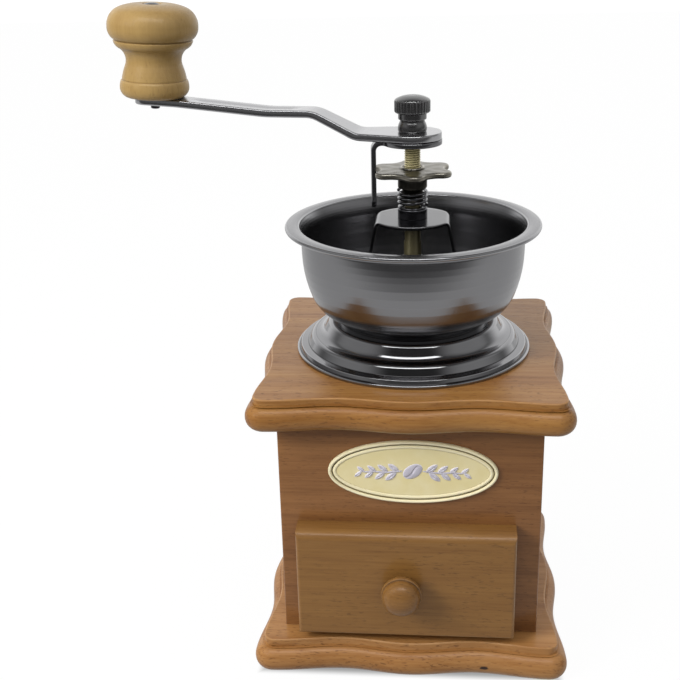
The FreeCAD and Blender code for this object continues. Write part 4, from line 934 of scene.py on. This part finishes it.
def bridge_plan(x, z):
    """A round table over the legs: the wider of the circle and the legs, feet with round corners."""
    table = np.maximum(half_chord(bridge_high[1], x), LEG_HALF)
    plan = np.where(z > bridge_top - 1.2, table, LEG_HALF)
    return plan - edge_depth(foot_end - np.abs(x), FOOT_ROUND)


bridge = flat_bar([(-foot_end, foot_level), (-knee, foot_level), (-BRIDGE_SHOULDER, bridge_top),
                   (BRIDGE_SHOULDER, bridge_top), (knee, foot_level), (foot_end, foot_level)],
                  [2.0, 2.2, 2.2, 2.0], BRIDGE_THICK, bridge_plan, edge=0.4)
piece("pressed_bridge", bridge, "case", "black_nickel", bridge_plate, "bridge")

# %% The bridge's bush
BORE, SPIGOT = 3.6, 5.0
bush_low, bush_high = span("bridge_bush")
wide, top = bush_high[0], bridge_high[2]
bush_line = outline((BORE, bush_low[2]), (6.2, bush_low[2], 0.3), (6.2, top - 1.5), (SPIGOT, top - 1.5),
                    (SPIGOT, top), (wide, top + 0.05, 0.2), (wide, bush_high[2], 0.6),
                    (BORE, bush_high[2]), closed=True)
piece("turned_bush", turned(bush_line, 96, wrap=True), "case", "bush_metal", bush_plate, "bridge_bush")

# %% [markdown]
# ## The shaft, its thread and the spring
#
# A screw thread is a radius that rises and falls with the height less the share of a turn: where
# that sum is a whole pitch, the crest is at its highest. The spring is one round wire whose middle
# line climbs a helix, with a small ring carried square to it.

# %% The threaded shaft
THREAD, PITCH, THREAD_DEPTH, THREAD_LOW, THREAD_HIGH, ROW = 3.5, 1.0, 0.4, 195.6, 222.6, 0.1
BURR_END, BODY_END, BODY, PAINTED_SHADE_BELOW, PAINTED_SHADE_BEND = 107.3, 180.0, 3.8, 200.0, 2.4
shaft_low, shaft_high = span("crank_shaft")


def threaded_shaft():
    """The radius falls from the crest by a rounded triangle of height less turn; low down, in the spring and
    the bowl, it is painted dark as shade.
    """
    angle, foot, tip = full_turn(72), shaft_low[2], shaft_high[2]
    rows = [(2.6, foot), (3.0, foot + 0.5), (3.0, BURR_END), (BODY, BURR_END + 0.05), (BODY, BODY_END),
            (THREAD, BODY_END + 0.3), (THREAD, THREAD_LOW - 0.1)]
    for height in np.arange(THREAD_LOW, THREAD_HIGH, ROW):
        wave = 1 - np.abs(2 * ((height / PITCH - angle / (2 * math.pi)) % 1.0) - 1)
        fade = min(1.0, height - THREAD_LOW, (THREAD_HIGH - height) / 0.8)
        rows.append((THREAD - THREAD_DEPTH * fade * np.clip(wave * 1.25 - 0.1, 0, 1), height))
    rows += [(THREAD, THREAD_HIGH + 0.1), (3.0, THREAD_HIGH + 0.15), (3.0, tip - 0.5), (2.5, tip)]
    points, faces, bend = skin([circle(radius, angle, height) for radius, height in rows])
    # painted shade: below this height the crease mask is full, so the shaft is darkened inside the spring and
    # the bowl
    bend[points[:, 2] < PAINTED_SHADE_BELOW] = PAINTED_SHADE_BEND
    return points, faces, bend


piece("threaded_shaft", threaded_shaft(), "crank", "brass_rod", thread_brass, "crank_shaft", sharp=60)

# %% The spring
WIRE, MEAN, TURNS, SPRING_LOW, SPRING_HIGH = 0.7, 5.85, 3.5, 196.68, 203.12


def coil():
    """A wire along a helix whose two ends run on straight for one diameter."""
    turn = np.linspace(0, TURNS, 181)
    helix = circle(MEAN, 2 * math.pi * turn, SPRING_LOW + (SPRING_HIGH - SPRING_LOW) * turn / TURNS)
    first, last = unit(helix[1] - helix[0]), unit(helix[-1] - helix[-2])
    line = np.concatenate([[helix[0] - first * 2 * WIRE], helix, [helix[-1] + last * 2 * WIRE]])
    heading = unit(np.gradient(line, axis=0))
    side = unit(np.cross(heading, (0, 0, 1)))
    return wire(line, side, np.cross(side, heading), WIRE, 20)


piece("spring_wire", coil(), "spring_set", "black_nickel", spring_plate, "coil_spring")
(_, _, washer_low), (wide, _, washer_high) = span("spring_washer")
washer_line = outline((3.75, washer_low), (wide, washer_low, 0.2), (wide, washer_high, 0.2),
                      (3.75, washer_high), closed=True)
piece("round_washer", turned(washer_line, 72, wrap=True), "spring_set", "black_nickel", spring_plate,
      "spring_washer")

# %% [markdown]
# ## The star wheel
#
# Six round lobes joined by round notches: the outline is two sets of circles that touch. Its rings
# are that outline moved inwards round the edge, and then a blend from the outline to the hub's
# circle. A casting isn't flat, so a slow wave of a few tenths of a millimetre lifts its face.

# %% The star wheel
LOBES, LOBE_TIP, LOBE_ROUND, NOTCH, STAR_EDGE, STAR_WAVE = 6, 18.0, 4.2, 13.8, 0.95, 0.16
WHEEL_Z0, WHEEL_Z1, HUB, COLLAR, SLEEVE_Z0, SLEEVE_Z1 = 209.8, 212.3, 6.3, 5.3, 197.0, 204.0
STAR_STEP, CLIP_TURN = math.radians(9.0), math.radians(5.0)


def polar(radius, angle):
    """A flat point at this radius and angle."""
    return radius * np.array([math.cos(angle), math.sin(angle)])


def star_outline():
    """Lobe circles and notch circles in turn, each arc ending where the two circles touch."""
    ring, step, gap = LOBE_TIP - LOBE_ROUND, math.pi / LOBES, LOBE_ROUND - NOTCH
    notch_ring = (ring ** 2 - gap ** 2) / (2 * (ring * math.cos(step) + gap))

    def touch(lobe_turn, notch_turn):
        centre = polar(ring, lobe_turn)
        return centre + unit(polar(notch_ring, notch_turn) - centre) * LOBE_ROUND

    points = []
    for lobe in range(LOBES):
        middle = CLIP_TURN + (2 * lobe + 1) * step - math.pi
        notch = middle + step
        leave = touch(middle, notch)
        points.append(arc(touch(middle, middle - step), polar(LOBE_TIP, middle), leave, STAR_STEP))
        points.append(arc(leave, polar(NOTCH, notch), touch(middle + 2 * step, notch), STAR_STEP))
    return np.concatenate(points)


def star_wheel():
    """Rings from the sleeve's foot, out under the star, round its edge, and in over the top to the bore."""
    star = star_outline()
    angle = np.arctan2(star[:, 1], star[:, 0])

    def circles(*rows):
        return [circle(radius, angle, height) for radius, height in rows]

    def blends(shares, radius, height):
        flats = [(1 - share) * star + share * circle(radius, angle, 0)[:, :2] for share in shares]
        return [np.column_stack([flat, height + STAR_WAVE * np.sin(flat[:, 0] * 0.71 + 0.4)
                                 * np.sin(flat[:, 1] * 0.83 + 1.1)]) for flat in flats]

    sleeve = circles((3.6, SLEEVE_Z0), (4.3, SLEEVE_Z0), (4.5, SLEEVE_Z0 + 0.2), (4.5, SLEEVE_Z1 - 0.2),
                     (4.7, SLEEVE_Z1), (HUB - 0.5, SLEEVE_Z1), (HUB - 0.15, SLEEVE_Z1 + 0.12),
                     (HUB, SLEEVE_Z1 + 0.5), (HUB, WHEEL_Z0 - 0.25), (HUB + 0.25, WHEEL_Z0))
    under = blends((0.8, 0.6, 0.4, 0.22), HUB + 0.3, WHEEL_Z0 + 0.02)
    edge = [inset(star, d, height) for d, height in bead_rows(STAR_EDGE, WHEEL_Z0, WHEEL_Z1, 7)]
    over = blends((0.22, 0.4, 0.6, 0.8, 0.95), COLLAR + 0.5, WHEEL_Z1)
    collar = circles((COLLAR + 0.15, WHEEL_Z1 + 0.1), (COLLAR, WHEEL_Z1 + 0.35), (COLLAR - 0.05, 212.8),
                     (COLLAR - 0.25, 213.05), (COLLAR - 0.7, 213.2), (4.4, 213.1), (3.7, 212.4), (3.6, 211.2))
    return skin(sleeve + under + edge + over + collar, wrap=True)


piece("cast_star_wheel", star_wheel(), "wheel", "wheel_metal", cast_plate, "star_wheel", sharp=60)

# %% [markdown]
# ## The locking clip, the crank arm and its cap nut
#
# The clip is a round eye under the arm with one leg bent down into a notch of the wheel. The arm has
# a round eye, a double bend, and a long outer part that climbs slowly to the grip. The cap nut is
# turned, with a knurled head: thirty shallow grooves sunk into its radius.

# %% The locking clip
CLIP_THICK, CLIP_EYE, CLIP_LEG, CLIP_LEG_HALF, LEG_ROUND = 2.1, 12.6, 16.6, 3.5, 3.0
JOIN_LONG, JOIN_SWELL, LEG_STARTS = 3.0, 1.5, -10
clip_low, clip_high = span("locking_clip")
clip_level, clip_foot = clip_high[2] - CLIP_THICK / 2, clip_low[2]


def clip_plan(x, z):
    """The eye's circle, run smoothly into the narrow leg, whose end is round."""
    eye = half_chord(CLIP_EYE, x) * (x > -CLIP_EYE)
    mix = np.clip(0.5 + (eye - CLIP_LEG_HALF) / JOIN_LONG, 0, 1)
    joined = eye * mix + CLIP_LEG_HALF * (1 - mix) + JOIN_SWELL * mix * (1 - mix)
    return np.where(x > 0, eye, joined) - edge_depth(z - clip_foot, LEG_ROUND) * (x < LEG_STARTS)


clip = flat_bar([(CLIP_EYE, clip_level), (-CLIP_LEG, clip_level), (-CLIP_LEG, clip_foot)], [3.2],
                CLIP_THICK, clip_plan)
piece("bent_clip", moved(clip, about_z(CLIP_TURN)), "clip", "black_nickel", bridge_plate, "locking_clip")

# %% The crank arm
TO_ARM = about_z(math.radians(172.0))
ARM_THICK, ARM_EYE, ARM_Z0, ARM_RISE, ARM_CLIMB, SEAT_SLOPE = 3.1, 12.4, 225.0, 8.95, 5.2, 3.0
BEND_FROM, BEND_TO, FLAT_TO, SEAT_FROM = 23.4, 42.0, 63.0, 103.0
GRIP_AT, ARM_PAST, END_HALF = 114.7, 9.0, 6.2
FLUTE_FROM, FLUTE_TO, FLUTE_FADE, FLUTE_DEPTH, FLUTE_WIDE = 48.0, 98.0, 5.0, 0.45, 2.1
eye_level = ARM_Z0 + ARM_THICK / 2
flat_level = eye_level + ARM_RISE
seat_level = flat_level + (SEAT_FROM - FLAT_TO) * math.tan(math.radians(ARM_CLIMB))
slope = math.radians(SEAT_SLOPE)
arm_tip = GRIP_AT + ARM_PAST
arm_end = arm_tip - END_HALF
shoulder, waist = (BEND_FROM + 0.6, 8.0), (BEND_TO + 2.0, 6.4)
touch = polar(ARM_EYE, math.atan2(shoulder[1], shoulder[0]) + math.acos(ARM_EYE / math.hypot(*shoulder)))


def arm_plan(x, z):
    """The eye's circle, then straight tapers from its tangent to the shoulder, the waist and the end."""
    taper = np.interp(x, *zip(touch, shoulder, waist, (arm_end, END_HALF)))
    outer = np.where(x > arm_end, half_chord(END_HALF, x - arm_end), taper)
    return np.where(x < touch[0], half_chord(ARM_EYE, x), outer)


def arm_flute(x, across):
    """A long shallow trough pressed into the outer part's top."""
    share = np.clip((x - FLUTE_FROM) / FLUTE_FADE, 0, 1) * np.clip((FLUTE_TO - x) / FLUTE_FADE, 0, 1)
    return FLUTE_DEPTH * share * np.exp(-(across / FLUTE_WIDE) ** 2)


arm = flat_bar([(-ARM_EYE, eye_level), (BEND_FROM, eye_level), (BEND_TO, flat_level), (FLAT_TO, flat_level),
                (SEAT_FROM, seat_level), (arm_tip, seat_level + (arm_tip - SEAT_FROM) * math.tan(slope))],
               [10.0, 12.0, 60.0, 60.0], ARM_THICK, arm_plan, edge=0.7, flute=arm_flute)
piece("bent_arm", moved(arm, TO_ARM), "crank", "black_nickel", arm_plate, "crank_arm")

# %% The cap nut
CAP_HEAD, RIBS, GROOVE = 7.6, 30, 0.22
(_, _, seat), (_, _, crown) = span("cap_nut")
cap_line = outline((0, seat), (5.8, seat, 0.2), (6.1, seat + 0.6, 0.4),
                   ((5.9, seat + 2.9), (5.2, seat + 4.4)), (5.2, seat + 5.0, 0.2), (6.0, seat + 5.3, 0.25),
                   (6.0, seat + 7.9, 0.3), (7.1, seat + 8.0, 0.3), (CAP_HEAD, seat + 8.5, 0.4),
                   (CAP_HEAD, seat + 13.3, 1.1), ((5.2, crown - 0.62), (0, crown)))
out, up = off_axis(cap_line)
knurled = (np.clip((up - seat - 7.9) / 0.9, 0, 1) * np.clip((seat + 13.5 - up) / 0.9, 0, 1)
           * np.clip((out - 6.4) / 0.7, 0, 1))
angle = full_turn(12 * RIBS)
groove = np.clip(np.cos(RIBS * angle), -0.35, 1) * GROOVE + 0.08
piece("knurled_cap", skin(circle(out - knurled * groove, angle, up)), "crank", "black_nickel", cap_plate,
      "cap_nut", sharp=50)

# %% [markdown]
# ## The grip and its pin
#
# The grip is turned beech: a foot, a waist, and a round head, with two fine grooves cut by the
# turner. It stands square to the climbing arm, so its outline is turned about Z and then tipped by
# the arm's slope. It rides on its own body, because it spins on the pin.

# %% The grip
TIP_UP = about_z(slope)[:, [0, 2, 1]][[0, 2, 1]]
GRIP_LOW, GRIP_LONG, PIN, PIN_HEAD = 0.3, 39.1, 2.5, 3.6
low, high = GRIP_LOW, GRIP_LOW + GRIP_LONG
grip_seat = seat_level + (GRIP_AT - SEAT_FROM) * math.tan(slope) + ARM_THICK / 2 / math.cos(slope)


def on_arm(made):
    """Moves a skin standing on the origin to the grip's seat, square to the climbing arm."""
    return moved(moved(made, TIP_UP, (GRIP_AT, 0, grip_seat)), TO_ARM)


grip_line = outline(
    (2.6, low), (12.6, low, 0.4), ((14.32, low + 1.45), (15.1, low + 3.9)),
    ((14.98, low + 5.4), (14.6, low + 6.9)), (14.0, low + 7.45, 0.3), (14.0, low + 8.2, 0.4),
    ((13.3, low + 11.0), (12.3, low + 13.9)),
    ((12.1, low + 16.4), (14.8, low + 20.7)), ((16.3, low + 21.9), (17.2, low + 23.8)),
    (16.65, low + 24.35, 0.3), (17.6, low + 24.9, 0.4), ((19.2, low + 27.3), (19.55, low + 29.9)),
    ((18.4, low + 34.4), (14.2, low + 37.8)), ((9.0, high), (4.3, high)), (4.0, high - 0.2),
    (4.0, high - 1.4), (2.6, high - 1.4), closed=True)
piece("turned_grip", on_arm(turned(grip_line, 160, wrap=True)), "grip", "grip_wood", grip_wood, "grip",
      sharp=60)
pin_line = outline((0, -5.1), (1.7, -5.1, 0.1), (2.0, -4.8, 0.2), (2.0, -3.1), (1.6, -3.05), (1.6, 0.0),
                   (PIN, 0.1), (PIN, high - 1.25), (PIN_HEAD, high - 1.25), (PIN_HEAD, high - 0.25, 0.2),
                   ((2.0, high + 0.32), (0, high + 0.5)))
piece("riveted_pin", on_arm(turned(pin_line, 64)), "crank", "bush_metal", bush_plate, "grip_pin", sharp=60)

# %% [markdown]
# ## The packed nodes that stay
#
# Screws, dowels, the burrs and their housing are right as they were packed. They keep their own
# mesh and only take a finish.

# %% Finishes for the packed nodes
kept = {screw_steel: ("base_screws", "bridge_screws", "hopper_screws", "bracket_screws",
                      "drawer_knob_screw", "burr_washer", "burr_nut", "lower_bracket"),
        burr_iron: ("burr_housing", "outer_burr", "inner_burr", "feed_sleeve"),
        bush_plate: ("lower_bush",), dowel_wood: ("top_dowels",)}
for material, nodes in kept.items():
    for node in nodes:
        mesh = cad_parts[node].data
        mesh.materials.clear()
        mesh.materials.append(material)
still_shown = sorted(name for name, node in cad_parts.items() if not node.hide_render)
print("packed nodes that show:", still_shown)
assert still_shown == sorted(node for nodes in kept.values() for node in nodes)

# %% [markdown]
# ## The floor and the light
#
# A dark mirror shows the room, so the metal takes its light from what it sees: a white wall behind,
# grey walls at the sides, a dark room in front, where the camera stands, and one long lamp overhead
# that draws the bright lines on the flange. The wood is lit apart from that, evenly by the world and
# by a soft lamp at the front left, which mirrors don't see. The floor is white to the camera, with a
# painted shadow where the base's round nose hangs over it.

# %% What the floor shows
WHITE = (1.0, 1.0, 1.0, 1.0)
PAPER_TONE, PAPER_SHOWN = (0.24, 0.24, 0.24, 1.0), 0.88
# Where the painted shadow under the base's nose ends, how bright it stays, and how much more the clear floor
# glows
NOSE_SHADE, SHADED, CLEAR_MORE = (0.0625, 0.0682), 0.40, 0.70
TABLE_FADES, TABLE_NEAR, TABLE_MORE = (-0.65, -0.20), 0.05, 0.67


def ray(link, kind):
    """1 where the ray is of this kind, and 0 elsewhere."""
    return link.node("LightPath", out="Is %s Ray" % kind)


def blend(link, share, first, second):
    """The first shader where the share is 0, and the second where it is 1."""
    return link.node("MixShader", {}, {0: share, 1: first, 2: second})


def axis(link, vector, letter):
    """One part of a vector."""
    return link.node("SeparateXYZ", {}, {0: vector}, out=letter)


def floor_surface(link):
    """Paper: plain white to the camera with a painted shadow under the base's nose, and to a mirror a fading
    table.
    """
    place = link.node("TexCoord", out="Object")
    sideways, forward = (link.math("ABSOLUTE", axis(link, place, letter)) for letter in "XY")
    # painted shadow: the white glows less where the base's nose hangs over the floor
    clear = link.math("MAXIMUM", sideways, forward).between(*NOSE_SHADE)
    fading = axis(link, place, "Y").between(*TABLE_FADES) * TABLE_MORE + TABLE_NEAR
    paper = link.node("BsdfDiffuse", {}, {"Color": PAPER_TONE})
    white, table = (link.node("Emission", {}, {"Color": WHITE, "Strength": strength})
                    for strength in (clear * CLEAR_MORE + SHADED, fading))
    shown = blend(link, ray(link, "Camera") * PAPER_SHOWN, paper, white)
    return blend(link, ray(link, "Glossy"), shown, table)


print("the nose's shade ends %.1f mm out" % (NOSE_SHADE[1] / MM))

# %% What the room shows
ROOM_LIGHT, ROOM_CEILING, ROOM_DARK, ROOM_HORIZON, ROOM_WALLS = 0.54, 0.44, 0.045, 0.14, 0.42
CAMERA_WHITE = 1.08
# Where each part of the room starts and is full, along one axis of the direction that is seen
CEILING, BACK_WALL, HORIZON = (-0.1, 0.9), (0.35, 0.75), (0.10, 0.45)
SIDE_WALLS, WALLS_FROM, WALLS_TO = (0.35, 0.80), (0.05, 0.35), (0.20, 0.60)


def room_surface(link):
    """An even room for the wood, a room with walls for mirrors, and plain white for the camera."""
    heading = link.node("TexCoord", out="Generated")
    backward, upward = axis(link, heading, "Y"), axis(link, heading, "Z")
    aside = link.math("ABSOLUTE", axis(link, heading, "X"))
    horizon = (1 - upward.between(*HORIZON)) * ROOM_HORIZON
    walls = aside.between(*SIDE_WALLS) * upward.between(*WALLS_FROM)
    walls = walls * (1 - backward.between(*WALLS_TO)) * ROOM_WALLS
    strengths = (upward.between(*CEILING) * ROOM_CEILING + ROOM_LIGHT,
                 backward.between(*BACK_WALL) + horizon + walls + ROOM_DARK, CAMERA_WHITE)
    even, mirrored, white = (link.node("Background", {}, {"Color": WHITE, "Strength": strength})
                             for strength in strengths)
    return blend(link, ray(link, "Camera"), blend(link, ray(link, "Glossy"), even, mirrored), white)


def surfaced(data, surface, output):
    """Gives a material or world the surface that the function makes."""
    data.use_nodes = True
    tree = data.node_tree
    tree.links.new(surface(Link(tree)).socket, tree.nodes[output].inputs["Surface"])
    return data


bpy.context.scene.world = surfaced(bpy.data.worlds.new("studio"), room_surface, "World Output")
print("room light", ROOM_LIGHT)

# %% The floor and the lamps
FLOOR_SIDE, FLOOR_FRONT, FLOOR_BACK = 2.6, -1.20, 3.0
floor_mesh = bpy.data.meshes.new("floor")
floor_mesh.from_pydata([(-FLOOR_SIDE, FLOOR_FRONT, 0), (FLOOR_SIDE, FLOOR_FRONT, 0),
                        (FLOOR_SIDE, FLOOR_BACK, 0), (-FLOOR_SIDE, FLOOR_BACK, 0)], [], [(0, 1, 2, 3)])
paper = surfaced(bpy.data.materials.new("white_paper"), floor_surface, "Material Output")
floor_mesh.materials.append(paper)
in_scene("floor", floor_mesh)
AIM = (0.0, 0.0, 0.12)


def soft_lamp(name, place, wide, high, power, mirrored=False):
    """A rectangular lamp that faces the grinder: its -Z looks along the line to it."""
    data = bpy.data.lights.new(name, "AREA")
    data.shape, data.size, data.size_y, data.energy = "RECTANGLE", wide, high, power
    back = unit(np.subtract(place, AIM))
    side = unit(np.cross((0, 0, 1), back))
    lamp = in_scene(name, data, np.stack([side, np.cross(back, side), back], axis=1), place)
    lamp.visible_glossy, lamp.visible_diffuse = mirrored, not mirrored
    print("%s lamp, %.1f W" % (name, power))


soft_lamp("overhead", (-0.03, -0.55, 1.06), 1.1, 0.30, 5.0, mirrored=True)
soft_lamp("front_left", (-0.74, -0.56, 0.66), 0.45, 0.45, 8.5)
bpy.context.scene.view_settings.view_transform = "Standard"

# %% [markdown]
# ## The packed model's box
#
# The dressed grinder has to stay in the packed model's box.
